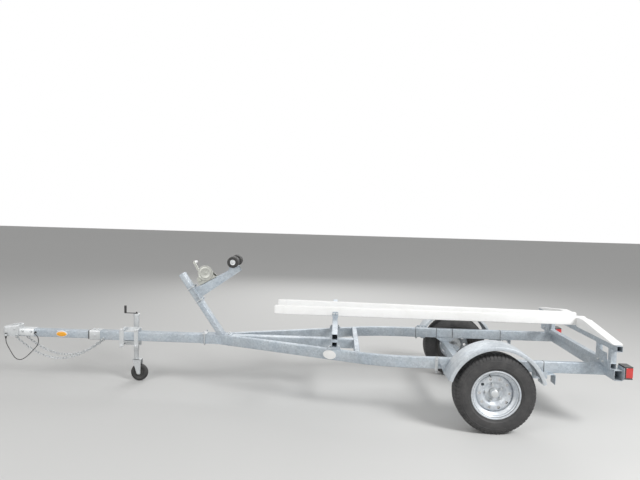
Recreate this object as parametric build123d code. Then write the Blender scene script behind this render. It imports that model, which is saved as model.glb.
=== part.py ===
"""Single-axle galvanised boat trailer, parked on its swing-down jack.

Millimetres, +Z up, +X towards the rear. The origin is on the floor, half-way along and on the centre line.
The near side is -Y and the far side is +Y. Sizes along the trailer are taken from the wheel axle and
moved to the frame's origin as each node is written.
"""
from build123d import *
import os
from math import asin, atan2, cos, degrees, pi, radians, sin, sqrt, tan

os.makedirs("parts", exist_ok=True)

# Overall layout, measured from the wheel axle
BALL_X = -4740
NOSE_R = 50
FRONT_X = BALL_X - NOSE_R
REAR_X = 1174
AXLE_X = -(FRONT_X + REAR_X) / 2
SEAT = 0.3
PIN_PLAY = 0.1
PLATE_T = 6
BEYOND = 1000

# Main frame
FRAME_BOTTOM = 474
RAIL_H = 100
RAIL_W = 50
RAIL_WALL = 4
RAIL_OUT = 600
RAIL_REAR_X = 1020
BEND_X = -950
BEND_R = 1500
VEE_START_X = -2470
VEE_LAP = 0.1
VEE_NOSE = 20
TONGUE = 90
TONGUE_WALL = 5
TONGUE_FRONT_X = -3765
COLLAR_FRONT_X = -3875
COLLAR_INSERT = 110
COLLAR_PROUD = 4
NECK = 76
NECK_WALL = 4.5
CROSS_W = 50
CROSS_WALL = 4
CROSS_FRONT_X = -1160
CROSS_REAR_W = 76
CROSS_REAR_H = 90
CROSS_REACH = 755

# Wheels
HUB_Z = 344
TYRE_R = 344
TYRE_W = 205
WHEEL_Y = 772
RIM_R = 208
RIM_W = 152
RIM_BED_R = 168
RIM_LIP = 8
RIM_T = 4
TYRE_T = 12
TREAD_T = 18
TREAD_EDGE = 26
SHOULDER_DOWN = 24
WALL_WIDEST_DOWN = 80
WHEEL_SIDES = 40
DISC_SIDES = 20
BEAD_R = 190
HUB_BORE_R = 17
HUB_BODY_R = 38
HUB_FLANGE_R = 84
HUB_FLANGE_T = 9
HUB_BACK = 90
HUB_NOSE = 56
HUB_SIDES = 24
DISC_T = 6
DISC_DISH = 22
DISC_SLOPE_R = 104
HAND_HOLES = 10
HAND_HOLE_R = 13
HAND_HOLE_PCR = 128
HAND_HOLE_SIDES = 14

# Axle
AXLE_TUBE = 76
AXLE_WALL = 5
AXLE_BACK = 142
AXLE_BEAM_Z = 394
AXLE_BEAM_Y = 600
ARM_T = 20
ARM_ROOT_R = 30
ARM_TIP_R = 26
SPINDLE_PAST = 20
AXLE_FOOT_TOP = 110
AXLE_FOOT_LOW = 48
ROUND_SIDES = 16

# Fenders
FENDER_R = 425
FENDER_T = 2
FENDER_IN_Y = 655
FENDER_OUT_Y = 895
FENDER_END_Z = 120
FENDER_LIP = 34
FENDER_FLANGE = 24
FENDER_SIDES = 28
STAY_CHANNEL_X = (463, 576)
STAY_CHANNEL_H = 90
STAY_CHANNEL_WALL = 4
STAY_PLATE_X = (365, 500)
STAY_PLATE_Z = (438, 498)
STAY_LEDGE_X = (-440, -360)
STAY_LEDGE_Z = 506
GUSSET_TOP_X = (-452, -330)
GUSSET_LOW_X = (-400, -352)
GUSSET_TOP_Z = 584
GUSSET_LOW_Z = 440

# Bunk supports
CROSS_TUBE = 50
CROSS_TUBE_WALL = 3
FRONT_SUPPORT_X = -1375
REAR_SUPPORT_X = 1006
FRONT_TUBE_TOP = 815
REAR_TUBE_TOP = 797
FRONT_FOOT_H = 20
FRONT_FOOT_L = 110
FRONT_POST_IN = 45
BUNK_TUBE_HALF = 845
REAR_BEAM_HALF = 760
REAR_POST_Y = 735
REAR_LEG_Y = 510
REAR_LEG = 42
REAR_PLATE_Y = (520, 700)
REAR_PLATE_Z = (600, 700)
BUNK_FRONT_X = -1975
BUNK_REAR_X = 1060
BUNK_FRONT_Y = 155
BUNK_REAR_Y = 100
BUNK_FRONT_Z = 831.6
BUNK_REAR_Z = 808.5
BUNK_W = 44
BUNK_H = 90
BUNK_FOOT_L = 55
BUNK_FOOT_T = 5
BUNK_FOOT_UP = 45
PAD_H = 96
PAD_W = 90
PAD_REACH = 815
PAD_FLAT = 140
PAD_TIP = 10
PAD_CLEAR = 4

# Winch post and bow stop
POST_DEEP = 54
POST_WIDE = 102
POST_WALL = 5
POST_FOOT_X = -2530
POST_TOP_X = -2940
POST_TOP_Z = 1178
SADDLE_T = 8
SADDLE_FRONT_X = -2727
SADDLE_REAR_X = -2500
SADDLE_TAIL_X = -2415
ARM_W = 70
ARM_WALL = 5
ARM_SLOPE = 29
ARM_SEAT_Z = 1035
ARM_ROOT_H = 115
ARM_END_H = 60
ARM_L = 506
WINCH_ALONG = 183
WINCH_PLATE_T = 5
WINCH_HALF = 42
WINCH_AXIS_UP = 84
WINCH_FRONT = 115
WINCH_REAR = 75
WINCH_HEAD = 26
WINCH_SHOULDER = 14
DRUM_R = 22
GEAR_R = 77.5
GEAR_T = 7
GEAR_GAP = 2
GEAR_SIDES = 36
PINION_R = 15.5
MESH_GAP = 1
PINION_ANGLE = 205
SHAFT_R = 8
SHAFT_PAST = 14
CRANK_L = 190
CRANK_END = 14
CRANK_W = 24
CRANK_OUT = 24
CRANK_T = 6
GRIP_R = 15
GRIP_L = 90
ROLLER_R = 56
ROLLER_L = 84
ROLLER_SIDES = 28
ROLLER_BACK = 9
ROLLER_UP = 51.5
EAR_T = 6
EAR_GAP = 6
EAR_BACK = 110
EAR_ROUND = 22

# Jack
JACK_X = -3470
JACK_Y = 165
JACK_TUBE_R = 28.5
JACK_TUBE_WALL = 3
JACK_TOP_ABOVE = 165
JACK_TUBE_BELOW = 200
JACK_CAP_H = 28
JACK_LEG_PLAY = 0.5
JACK_LEG_WALL = 3
JACK_LEG_INSIDE = 260
JACK_SIDES = 20
JACK_PIN_R = 12
JACK_PIVOT_R = 26
JACK_DISC_R = 32
JACK_DISC_BACK = 10
JACK_WHEEL_R = 90
JACK_WHEEL_W = 44
JACK_WHEEL_SIDES = 32
JACK_AXLE_R = 7
JACK_TRAIL = 35
JACK_CRANK_L = 120
JACK_GRIP_R = 13
JACK_GRIP_L = 76
STEM_R = 9
STEM_L = 24
FORK_TOP_Z = 236
FORK_T = 5
FORK_GAP = 6
FORK_FRONT = 34
FORK_REAR = 22
FORK_TIP = 18
CLAMP_T = 8
CLAMP_BAR_T = 6
CLAMP_ABOVE = 76
CLAMP_BELOW = 114
CLAMP_BARS = ((-3565, -3520), (-3415, -3372))
CLAMP_PLATE_X = (-3516, -3419)
CLAMP_BOLT_R = 6
CLAMP_BOLT_OUT = 60
CLAMP_BOLT_UP = (64, -98)

# Coupler
BALL_R = 25.4
BALL_PLAY = 0.8
BALL_Z = 520
COUPLER_W = 100
COUPLER_TOP = 606
COUPLER_FRONT_TOP = 576
COUPLER_BOTTOM = 484
COUPLER_WALL = 6
COUPLER_NOSE_BACK = 20
SOCKET_HOLE_R = 8
SOCKET_SIDES = 20
HEAD_REAR_X = -4610
CHANNEL_REAR_X = -4455
CHANNEL_DOWN = 30
NECK_FRONT_X = -4600

# Safety chains
LINK_PITCH = 30
LINK_BAR = 6.5
LINK_HALF_L = 21.5
LINK_HALF_W = 13
LINK_SHOULDER = 4.2
LINK_PLAY = 0.6
LINKS = 35
CHAIN_Y = 68
CHAIN_PIN_R = 3.8
CHAIN_PIN_PAST = 20
CHAIN_NUT_R = 9
CHAIN_NUT_T = 6
CHAIN_REAR_X = -3730
CHAIN_REAR_Z = 494
CHAIN_FRONT_X = -4630
CHAIN_FRONT_Z = 496

# Lamp harness: the cord's route from the front tube round its loop to the plug, as (X, Y, Z)
HARNESS_D = 8
HARNESS_ROUTE = ((-4440, -38, 530), (-4440, -72, 530), (-4412, -96, 528), (-4382, -98, 502), (-4372, -97, 455),
                 (-4392, -96, 405), (-4440, -95, 352), (-4500, -95, 291), (-4562, -95, 252), (-4618, -95, 268),
                 (-4656, -94, 322), (-4690, -87, 374), (-4720, -73, 408), (-4736, -62, 436), (-4736, -62, 466))
ARC_SHARE = 0.45
PLUG_R = 11
PLUG_L = 52
PLUG_CLIP_Z = (490, 512)
PLUG_CLIP_T = 4

# Lamps
MARKER_X = -4165
MARKER_L = 118
MARKER_H = 62
MARKER_T = 16
LAMP_W = 110
LAMP_H = 110
LAMP_T = 74
LAMP_Z = 492
LAMP_OUT_Y = 770
LAMP_PLATE_Z = (486, 590)

RAIL_TOP = FRAME_BOTTOM + RAIL_H
FRAME_MID = FRAME_BOTTOM + RAIL_H / 2
TONGUE_TOP = FRAME_MID + TONGUE / 2
RAIL_MID_Y = RAIL_OUT - RAIL_W / 2


def block(x, y, z):
    """A box between pairs of limits along each axis."""
    size = (x[1] - x[0], y[1] - y[0], z[1] - z[0])
    middle = (sum(x) / 2, sum(y) / 2, sum(z) / 2)
    return Pos(*middle) * Box(*size)


def square_tube(length, width, height, wall):
    """A hollow tube along X, centred on the origin."""
    return Box(length, width, height) - Box(2 * length, width - 2 * wall, height - 2 * wall)


def tube_along(plane, width, height, wall, length):
    """A hollow tube that leaves a plane at right angles."""
    outer = plane * Rectangle(width, height)
    inner = plane * Rectangle(width - 2 * wall, height - 2 * wall)
    return extrude(outer - inner, length)


def many_sided(points, sides):
    """A ring about Z in straight segments, from its section in (radius, height)."""
    path_r = points[0][0]
    corner = path_r / cos(pi / sides)
    turns = [pi * (2 * k + 1) / sides for k in range(sides)]
    corners = [(corner * cos(turn), corner * sin(turn)) for turn in turns]
    path = Polyline((path_r, 0), *corners, (path_r, 0))
    section = Plane.XZ * make_face(Polyline(*points, close=True))
    return sweep(section, path=path, transition=Transition.RIGHT)


def cross_tube(x, z, reach, width, height, wall):
    """A hollow tube across the trailer, with its ends an equal reach from the centre line."""
    return Pos(x, 0, z) * Rot(0, 0, 90) * square_tube(2 * reach, width, height, wall)


def bar(radius, sides=ROUND_SIDES):
    """A shaft's outline, with its corners on the radius."""
    return RegularPolygon(radius, sides)


def bore(radius, sides=ROUND_SIDES):
    """A bore's outline, with its flats on the radius so that a shaft's corners pass."""
    return RegularPolygon(radius, sides, major_radius=False)


def across(x, z, y_from, y_to, outline):
    """A piece whose outline lies in the side view, between two distances from the centre line."""
    side = Plane(origin=(x, y_to, z), x_dir=(1, 0, 0), z_dir=(0, -1, 0))
    return extrude(side * outline, y_to - y_from)


def upright(x, y, z_from, z_to, outline):
    """A piece whose outline lies in plan, between two heights."""
    return extrude(Pos(x, y, z_from) * outline, z_to - z_from)


def far_side(shape):
    """The same piece on the far side of the centre line."""
    return mirror(shape, about=Plane.XZ)


def save(node, *solids):
    """Writes one node, moved from the wheel axle to the trailer's own origin."""
    shape = Compound(label=node, children=[Pos(AXLE_X, 0, 0) * part for part in solids])
    export_step(shape, f"parts/{node}.step")


# Side rails: rectangular tube that leaves the tongue in a vee and bends parallel to it
vee_run = BEND_X - VEE_START_X
vee_rise = RAIL_MID_Y - TONGUE / 2
VEE_ANGLE = atan2(vee_rise, vee_run)


def rail_body(width, height):
    """One near rail of the given section, with its front end past the tongue's side."""
    start = (VEE_START_X - vee_run * VEE_LAP, -(TONGUE / 2 - vee_rise * VEE_LAP), FRAME_MID)
    corner = (BEND_X, -RAIL_MID_Y, FRAME_MID)
    end = (RAIL_REAR_X, -RAIL_MID_Y, FRAME_MID)
    path = FilletPolyline(start, corner, end, radius=BEND_R)
    section = Plane(origin=start, x_dir=(0, 0, 1), z_dir=path % 0) * Rectangle(height, width)
    return sweep(section, path=path)


tongue_keep = block((FRONT_X, 0), (-TONGUE / 2, RAIL_OUT), (0, BEYOND))
nose_keep = block((FRONT_X, VEE_START_X - VEE_NOSE), (-RAIL_OUT, 0), (0, BEYOND))
rail_outer = rail_body(RAIL_W, RAIL_H) - tongue_keep - nose_keep
rail_inner = rail_body(RAIL_W - 2 * RAIL_WALL, RAIL_H - 2 * RAIL_WALL)
rail = rail_outer - rail_inner
save("side_rail_near", rail)
save("side_rail_far", far_side(rail))

# Cross members between the rails and across their rear ends
cross_front = cross_tube(CROSS_FRONT_X, FRAME_MID, RAIL_OUT, CROSS_W, RAIL_H, CROSS_WALL)
outside_near = Pos(0, -(RAIL_OUT + RAIL_W) / 2, 0) * rail_body(RAIL_OUT, RAIL_H)
cross_half = (cross_front & block((FRONT_X, 0), (-RAIL_OUT, 0), (0, BEYOND))) - outside_near
cross_half = cross_half - rail_body(RAIL_W, RAIL_H)
save("crossmember_front", cross_half + far_side(cross_half))

member_back_x = RAIL_REAR_X + CROSS_REAR_W
member_mid_z = FRAME_BOTTOM + CROSS_REAR_H / 2
save("crossmember_rear", cross_tube(RAIL_REAR_X + CROSS_REAR_W / 2, member_mid_z, CROSS_REACH, CROSS_REAR_W,
                                    CROSS_REAR_H, CROSS_WALL))

# Tongue: rear tube, splice collar and smaller front tube
tongue_rear_x = CROSS_FRONT_X - CROSS_W / 2
tongue_l = tongue_rear_x - TONGUE_FRONT_X
tongue = Pos(TONGUE_FRONT_X + tongue_l / 2, 0, FRAME_MID) * square_tube(tongue_l, TONGUE, TONGUE, TONGUE_WALL)
save("tongue_tube", tongue)

collar_in = TONGUE - 2 * TONGUE_WALL
collar_l = TONGUE_FRONT_X - COLLAR_FRONT_X
collar_head = Pos(COLLAR_FRONT_X + collar_l / 2, 0, FRAME_MID) * Box(
    collar_l, TONGUE + 2 * COLLAR_PROUD, TONGUE + 2 * COLLAR_PROUD)
collar_tail = Pos(TONGUE_FRONT_X + COLLAR_INSERT / 2, 0, FRAME_MID) * Box(COLLAR_INSERT, collar_in, collar_in)
collar_bore = Pos(TONGUE_FRONT_X, 0, FRAME_MID) * Box(BEYOND, NECK, NECK)
save("tongue_collar", collar_head + collar_tail - collar_bore)

neck_rear_x = TONGUE_FRONT_X + COLLAR_INSERT
neck_l = neck_rear_x - NECK_FRONT_X
neck = Pos(NECK_FRONT_X + neck_l / 2, 0, FRAME_MID) * square_tube(neck_l, NECK, NECK, NECK_WALL)
save("tongue_front_tube", neck)

# Coupler: pressed head over the ball, with a channel that straddles the front tube
nose = Pos(BALL_X, 0) * bar(NOSE_R, SOCKET_SIDES)
head_box_l = HEAD_REAR_X - BALL_X - COUPLER_NOSE_BACK
head_rear = Pos(HEAD_REAR_X - head_box_l / 2, 0) * Rectangle(head_box_l, COUPLER_W)
head_plan = make_hull(nose.edges() + head_rear.edges())
head_side = make_face(Polyline((FRONT_X, COUPLER_BOTTOM), (HEAD_REAR_X, COUPLER_BOTTOM),
                               (HEAD_REAR_X, COUPLER_TOP), (FRONT_X, COUPLER_FRONT_TOP), close=True))
head = across(0, 0, -COUPLER_W, COUPLER_W, head_side) & upright(0, 0, COUPLER_BOTTOM, COUPLER_TOP, head_plan)
head_room = (across(0, -COUPLER_WALL, -COUPLER_W, COUPLER_W, head_side)
             & upright(0, 0, 0, COUPLER_TOP, offset(head_plan, -COUPLER_WALL, kind=Kind.INTERSECTION)))
channel_top = FRAME_MID + NECK / 2 + COUPLER_WALL
channel_w = NECK + 2 * COUPLER_WALL
channel = block((HEAD_REAR_X - COUPLER_WALL, CHANNEL_REAR_X), (-channel_w / 2, channel_w / 2),
                (FRAME_MID - CHANNEL_DOWN, channel_top))
neck_room = block((HEAD_REAR_X - 2 * COUPLER_WALL, 0), (-NECK / 2, NECK / 2), (0, channel_top - COUPLER_WALL))
socket_r = BALL_R + BALL_PLAY
socket_out = socket_r + COUPLER_WALL
socket_low = COUPLER_BOTTOM - BALL_Z
bowl = [(socket_r * cos(radians(turn)), socket_r * sin(radians(turn))) for turn in (0, 22, 44, 66)]
socket = many_sided([(socket_r, socket_low), *bowl, (SOCKET_HOLE_R, socket_r), (SOCKET_HOLE_R, BEYOND / 10),
                     (socket_out, BEYOND / 10), (socket_out, socket_low)], SOCKET_SIDES)
socket_cup = (Pos(BALL_X, 0, BALL_Z) * socket) & head
plug_x, plug_y, plug_z = HARNESS_ROUTE[-1]
clip_out = PLUG_R + SEAT + PLUG_CLIP_T
plug_clip = block((plug_x - clip_out, plug_x + clip_out),
                  (plug_y - clip_out, -COUPLER_W / 2 + COUPLER_WALL / 2), PLUG_CLIP_Z)
plug_room = upright(plug_x, plug_y, 0, BEYOND, bore(PLUG_R + SEAT))
save("coupler", (head - head_room) + (channel - neck_room) - neck_room + socket_cup + (plug_clip - plug_room))

# Lamp harness: one hanging loop of cord, its straight runs joined by tangent arcs, and its plug in the clip
harness_points = [Vector(*point) for point in HARNESS_ROUTE]
harness_radii = []
for before, point, after in zip(harness_points, harness_points[1:], harness_points[2:]):
    run_in = point - before
    run_out = after - point
    half_turn = radians(run_in.get_angle(run_out)) / 2
    harness_radii.append(ARC_SHARE * min(run_in.length, run_out.length) / tan(half_turn))
harness_path = FilletPolyline(*harness_points, radius=harness_radii)
harness_end = Plane(origin=harness_path @ 0, z_dir=harness_path % 0) * Circle(HARNESS_D / 2)
harness = sweep(harness_end, path=harness_path)
print("harness radii", [round(radius) for radius in harness_radii], "length", round(harness_path.length),
      "volume over section by length", round(harness.volume / (harness_end.area * harness_path.length), 3))
save("lamp_harness", harness)
save("harness_plug", upright(plug_x, plug_y, plug_z, plug_z + PLUG_L, bar(PLUG_R)))

# Axle: torsion beam under the rails, trailing arms and spindles
save("axle_beam", cross_tube(-AXLE_BACK, AXLE_BEAM_Z, AXLE_BEAM_Y, AXLE_TUBE, AXLE_TUBE, AXLE_WALL))

beam_top = AXLE_BEAM_Z + AXLE_TUBE / 2
arm_out_y = AXLE_BEAM_Y + ARM_T
arm_root_plan = Pos(-AXLE_BACK, AXLE_BEAM_Z) * bar(ARM_ROOT_R)
arm_tip_plan = Pos(0, HUB_Z) * bar(ARM_TIP_R)
arm_plan = make_hull(arm_root_plan.edges() + arm_tip_plan.edges())
arm = (across(0, 0, AXLE_BEAM_Y, arm_out_y, arm_plan)
       + across(0, HUB_Z, arm_out_y, WHEEL_Y + SPINDLE_PAST, Circle(HUB_BORE_R - PIN_PLAY)))
save("axle_arms", arm, far_side(arm))

foot = make_face(Polyline((-AXLE_FOOT_LOW, beam_top), (AXLE_FOOT_LOW, beam_top), (AXLE_FOOT_TOP, FRAME_BOTTOM),
                          (-AXLE_FOOT_TOP, FRAME_BOTTOM), close=True))
bracket = across(-AXLE_BACK, 0, RAIL_OUT - RAIL_W, RAIL_OUT, foot)
bracket_room = block((-AXLE_BACK - 2 * AXLE_FOOT_TOP, -AXLE_BACK + 2 * AXLE_FOOT_TOP),
                     (RAIL_OUT - RAIL_W + PLATE_T, RAIL_OUT - PLATE_T),
                     (beam_top + PLATE_T, FRAME_BOTTOM - PLATE_T))
bracket = bracket - bracket_room
save("axle_brackets", bracket, far_side(bracket))

# Wheels: hub on the spindle, pressed steel rim and tyre
wheel_place = Pos(0, WHEEL_Y, HUB_Z) * Rot(-90, 0, 0)


def turned(points, sides):
    """A ring about the far wheel's axle from its section in (radius, across)."""
    return wheel_place * many_sided(points, sides)


half = TYRE_W / 2
bead_y = RIM_W / 2
bead_r = BEAD_R + SEAT
wide_r = TYRE_R - WALL_WIDEST_DOWN
shoulder_r = TYRE_R - SHOULDER_DOWN
tyre = turned([(bead_r, -bead_y), (RIM_R + RIM_T, -bead_y), (wide_r, -half), (shoulder_r, -half + RIM_LIP),
               (TYRE_R, -half + TREAD_EDGE), (TYRE_R, half - TREAD_EDGE), (shoulder_r, half - RIM_LIP),
               (wide_r, half), (RIM_R + RIM_T, bead_y), (bead_r, bead_y), (bead_r, bead_y - TYRE_T),
               (wide_r, half - TYRE_T), (TYRE_R - TREAD_T, half - 2 * TREAD_T),
               (TYRE_R - TREAD_T, -half + 2 * TREAD_T), (wide_r, -half + TYRE_T), (bead_r, -bead_y + TYRE_T)],
              WHEEL_SIDES)
flange = RIM_W / 2 + RIM_LIP
bed = RIM_BED_R
face_y = DISC_T + DISC_DISH
rim_ring = turned([(RIM_R, -flange), (BEAD_R - RIM_T, -flange), (bed - RIM_T, -16), (bed - RIM_T, 46),
                   (BEAD_R - RIM_T, 58), (BEAD_R - RIM_T, flange), (RIM_R, flange), (RIM_R, flange - RIM_T),
                   (BEAD_R, flange - RIM_T), (BEAD_R, 54), (bed, 42), (bed, -12), (BEAD_R, -flange + RIM_T),
                   (RIM_R, -flange + RIM_T)], WHEEL_SIDES)
disc_in = HUB_BODY_R + SEAT
disc = turned([(disc_in, DISC_T), (HUB_FLANGE_R, DISC_T), (DISC_SLOPE_R, face_y), (bed - RIM_T / 2, face_y),
               (bed - RIM_T / 2, face_y + DISC_T), (DISC_SLOPE_R - 3, face_y + DISC_T),
               (HUB_FLANGE_R - 3, 2 * DISC_T), (disc_in, 2 * DISC_T)], DISC_SIDES)
hand_hole = extrude(bar(HAND_HOLE_R, HAND_HOLE_SIDES), BEYOND / 10)
hand_holes = [wheel_place * Rot(0, 0, 360 * (turn + 0.5) / HAND_HOLES) * Pos(HAND_HOLE_PCR, 0, 0) * hand_hole
              for turn in range(HAND_HOLES)]
rim = rim_ring + (disc - hand_holes)
seat_y = DISC_T - SEAT
hub_room = HUB_BORE_R - RIM_T
hub = turned([(hub_room, -HUB_BACK), (HUB_BODY_R - RIM_T, -HUB_BACK),
              (HUB_BODY_R - RIM_T, seat_y - HUB_FLANGE_T),
              (HUB_FLANGE_R, seat_y - HUB_FLANGE_T), (HUB_FLANGE_R, seat_y), (HUB_BODY_R - 2, seat_y),
              (HUB_BODY_R - 2, face_y), (HUB_BODY_R - 6, face_y + RIM_T), (HUB_BODY_R - 6, HUB_NOSE),
              (HUB_BODY_R - 12, HUB_NOSE + RIM_T), (hub_room, HUB_NOSE + RIM_T)], HUB_SIDES)
hub_bore = wheel_place * extrude(Circle(HUB_BORE_R), BEYOND, both=True)
hub_cap = wheel_place * Pos(0, 0, HUB_NOSE) * extrude(bore(HUB_BORE_R + 1, HUB_SIDES), RIM_T)
hub = hub - hub_bore + hub_cap
for side, place in (("far", lambda piece: piece), ("near", far_side)):
    save(f"hub_{side}", place(hub))
    save(f"rim_{side}", place(rim))
    save(f"tyre_{side}", place(tyre))

# Fenders: rolled half hoops with a turned-down lip and an inner flange
outer_r = FENDER_R
inner_r = FENDER_R - FENDER_T
fender_points = [(outer_r, FENDER_IN_Y), (outer_r, FENDER_OUT_Y), (outer_r - FENDER_LIP, FENDER_OUT_Y),
                 (outer_r - FENDER_LIP, FENDER_OUT_Y - FENDER_T), (inner_r, FENDER_OUT_Y - FENDER_T),
                 (inner_r, FENDER_IN_Y + FENDER_T), (outer_r - FENDER_FLANGE, FENDER_IN_Y + FENDER_T),
                 (outer_r - FENDER_FLANGE, FENDER_IN_Y)]
fender_start = asin(FENDER_END_Z / outer_r)
fender_arc = pi - 2 * fender_start
fender_end = (outer_r * cos(fender_start), outer_r * sin(fender_start))
fender_turn = fender_arc / FENDER_SIDES
fender_corner = outer_r / cos(fender_turn / 2)
fender_path = [(fender_corner * cos(fender_start + fender_turn * (k + 0.5)), 0,
                fender_corner * sin(fender_start + fender_turn * (k + 0.5))) for k in range(FENDER_SIDES)]
fender_path = Polyline((fender_end[0], 0, fender_end[1]), *fender_path, (-fender_end[0], 0, fender_end[1]))
fender_plane = Plane(origin=(0, 0, 0), x_dir=(cos(fender_start), 0, sin(fender_start)), z_dir=fender_path % 0)
fender_section = fender_plane * make_face(Polyline(*fender_points, close=True))
fender = sweep(fender_section, path=fender_path, transition=Transition.RIGHT)
fender = Pos(0, 0, HUB_Z) * fender
save("fender_far", fender)
save("fender_near", far_side(fender))

# Fender brackets: a gusset in front, and a plate on a short channel under the rail behind
stay_in = FENDER_IN_Y - SEAT - PLATE_T
stay_out = FENDER_IN_Y - SEAT
stay_channel = block(STAY_CHANNEL_X, (RAIL_OUT - RAIL_W, stay_in),
                     (FRAME_BOTTOM - STAY_CHANNEL_H, FRAME_BOTTOM))
stay_channel = stay_channel - block(
    (STAY_CHANNEL_X[0] + STAY_CHANNEL_WALL, STAY_CHANNEL_X[1] - STAY_CHANNEL_WALL), (0, BEYOND),
    (0, FRAME_BOTTOM - STAY_CHANNEL_WALL))
stay_plate = block(STAY_PLATE_X, (stay_in, stay_out), STAY_PLATE_Z)
gusset = make_face(Polyline((GUSSET_TOP_X[0], GUSSET_TOP_Z), (GUSSET_TOP_X[1], GUSSET_TOP_Z),
                            (GUSSET_LOW_X[1], GUSSET_LOW_Z), (GUSSET_LOW_X[0], GUSSET_LOW_Z), close=True))
stay_gusset = across(0, 0, stay_in, stay_out, gusset)
stay_ledge = block(STAY_LEDGE_X, (RAIL_OUT, stay_in), (STAY_LEDGE_Z - PLATE_T, STAY_LEDGE_Z))
stays = [stay_channel + stay_plate, stay_gusset + stay_ledge]
save("fender_brackets", *stays, *[far_side(stay) for stay in stays])

# Bunk supports: a tube on the rails, posts and a longer tube that carries the bunks
vee_half = RAIL_OUT - (BEND_X - FRONT_SUPPORT_X) * tan(VEE_ANGLE)
front_beam_z = RAIL_TOP + FRONT_FOOT_H + CROSS_TUBE / 2
rear_beam_z = RAIL_TOP + CROSS_TUBE / 2


def support_post(x, y, size, beam_z, tube_top):
    """An upright tube from the lower beam's top to the upper tube's underside."""
    base = Plane(origin=(x, y, beam_z + CROSS_TUBE / 2))
    return tube_along(base, size, size, CROSS_TUBE_WALL, tube_top - beam_z - 1.5 * CROSS_TUBE)


front_foot = block((FRONT_SUPPORT_X - FRONT_FOOT_L / 2, FRONT_SUPPORT_X + FRONT_FOOT_L / 2),
                   (vee_half - RAIL_W, vee_half), (RAIL_TOP, RAIL_TOP + FRONT_FOOT_H))
front_post = support_post(FRONT_SUPPORT_X, vee_half - FRONT_POST_IN, CROSS_TUBE, front_beam_z, FRONT_TUBE_TOP)
rear_posts = [support_post(REAR_SUPPORT_X, REAR_POST_Y, CROSS_TUBE, rear_beam_z, REAR_TUBE_TOP),
              support_post(REAR_SUPPORT_X, REAR_LEG_Y, REAR_LEG, rear_beam_z, REAR_TUBE_TOP)]
rear_front_x = REAR_SUPPORT_X - CROSS_TUBE / 2
rear_plate = block((rear_front_x - PLATE_T, rear_front_x), REAR_PLATE_Y, REAR_PLATE_Z)
for place, x, beam_z, reach, tube_top, uprights in (
        ("front", FRONT_SUPPORT_X, front_beam_z, vee_half, FRONT_TUBE_TOP, [front_post, front_foot]),
        ("rear", REAR_SUPPORT_X, rear_beam_z, REAR_BEAM_HALF, REAR_TUBE_TOP, rear_posts + [rear_plate])):
    save(f"{place}_support_beam", cross_tube(x, beam_z, reach, CROSS_TUBE, CROSS_TUBE, CROSS_TUBE_WALL))
    save(f"{place}_support_posts", *uprights, *[far_side(upright_piece) for upright_piece in uprights])
    save(f"{place}_bunk_tube", cross_tube(x, tube_top - CROSS_TUBE / 2, BUNK_TUBE_HALF, CROSS_TUBE, CROSS_TUBE,
                                          CROSS_TUBE_WALL))

# Long bunks on edge, their brackets, and the sloping pads on the rear tube
bunk_run = BUNK_REAR_X - BUNK_FRONT_X
bunk_fall = BUNK_FRONT_Z - BUNK_REAR_Z
bunk_mid_x = (BUNK_FRONT_X + BUNK_REAR_X) / 2
bunk_place = (Pos(bunk_mid_x, -(BUNK_FRONT_Y + BUNK_REAR_Y) / 2, (BUNK_FRONT_Z + BUNK_REAR_Z) / 2)
              * Rot(0, 0, degrees(atan2(BUNK_FRONT_Y - BUNK_REAR_Y, bunk_run)))
              * Rot(0, degrees(atan2(bunk_fall, bunk_run)), 0))
bunk = bunk_place * block((-bunk_run / 2, bunk_run / 2), (-BUNK_W / 2, BUNK_W / 2), (0, BUNK_H))
save("bunk_near", bunk)
save("bunk_far", far_side(bunk))

bunk_feet = []
for x, tube_top, out in ((FRONT_SUPPORT_X, FRONT_TUBE_TOP, -1), (REAR_SUPPORT_X, REAR_TUBE_TOP, 1)):
    foot_x = (x - bunk_mid_x - BUNK_FOOT_L / 2, x - bunk_mid_x + BUNK_FOOT_L / 2)
    side_y = sorted((out * BUNK_W / 2, out * (BUNK_W / 2 + BUNK_FOOT_T)))
    foot_base = block(foot_x, (-BUNK_W / 2, BUNK_W / 2), (-BUNK_FOOT_UP, 0))
    foot_side = block(foot_x, side_y, (-BUNK_FOOT_UP, BUNK_FOOT_UP))
    below = block((BUNK_FRONT_X, BUNK_REAR_X), (-BEYOND, 0), (0, tube_top))
    bunk_feet.append(bunk_place * (foot_base + foot_side) - below)
save("bunk_brackets", *bunk_feet, *[far_side(foot_piece) for foot_piece in bunk_feet])

pad_in = BUNK_REAR_Y + BUNK_W / 2 + PAD_CLEAR
pad_outline = Polyline((-PAD_REACH, 0), (-pad_in, 0), (-pad_in, PAD_H), (-pad_in - PAD_FLAT, PAD_H),
                       (-PAD_REACH, PAD_TIP), close=True)
pad_plane = Plane(origin=(REAR_SUPPORT_X - PAD_W / 2, 0, REAR_TUBE_TOP), x_dir=(0, 1, 0), z_dir=(1, 0, 0))
pad = extrude(pad_plane * make_face(pad_outline), PAD_W)
save("rear_pads", pad, far_side(pad))

# Winch post: saddle on the tongue, leaning post and the tapered arm on its rear face
foot_z = TONGUE_TOP + SADDLE_T
saddle_out = TONGUE / 2 + SEAT + SADDLE_T
saddle = block((SADDLE_FRONT_X, SADDLE_REAR_X), (-saddle_out, saddle_out), (FRAME_MID - TONGUE / 2, foot_z))
saddle = saddle - block((-BEYOND * 4, 0), (-TONGUE / 2 - SEAT, TONGUE / 2 + SEAT), (0, TONGUE_TOP))
saddle_tail = block((SADDLE_REAR_X, SADDLE_TAIL_X), (-TONGUE / 2 + SEAT, TONGUE / 2 - SEAT),
                    (TONGUE_TOP, foot_z))
save("post_saddle", saddle + saddle_tail)

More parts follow.
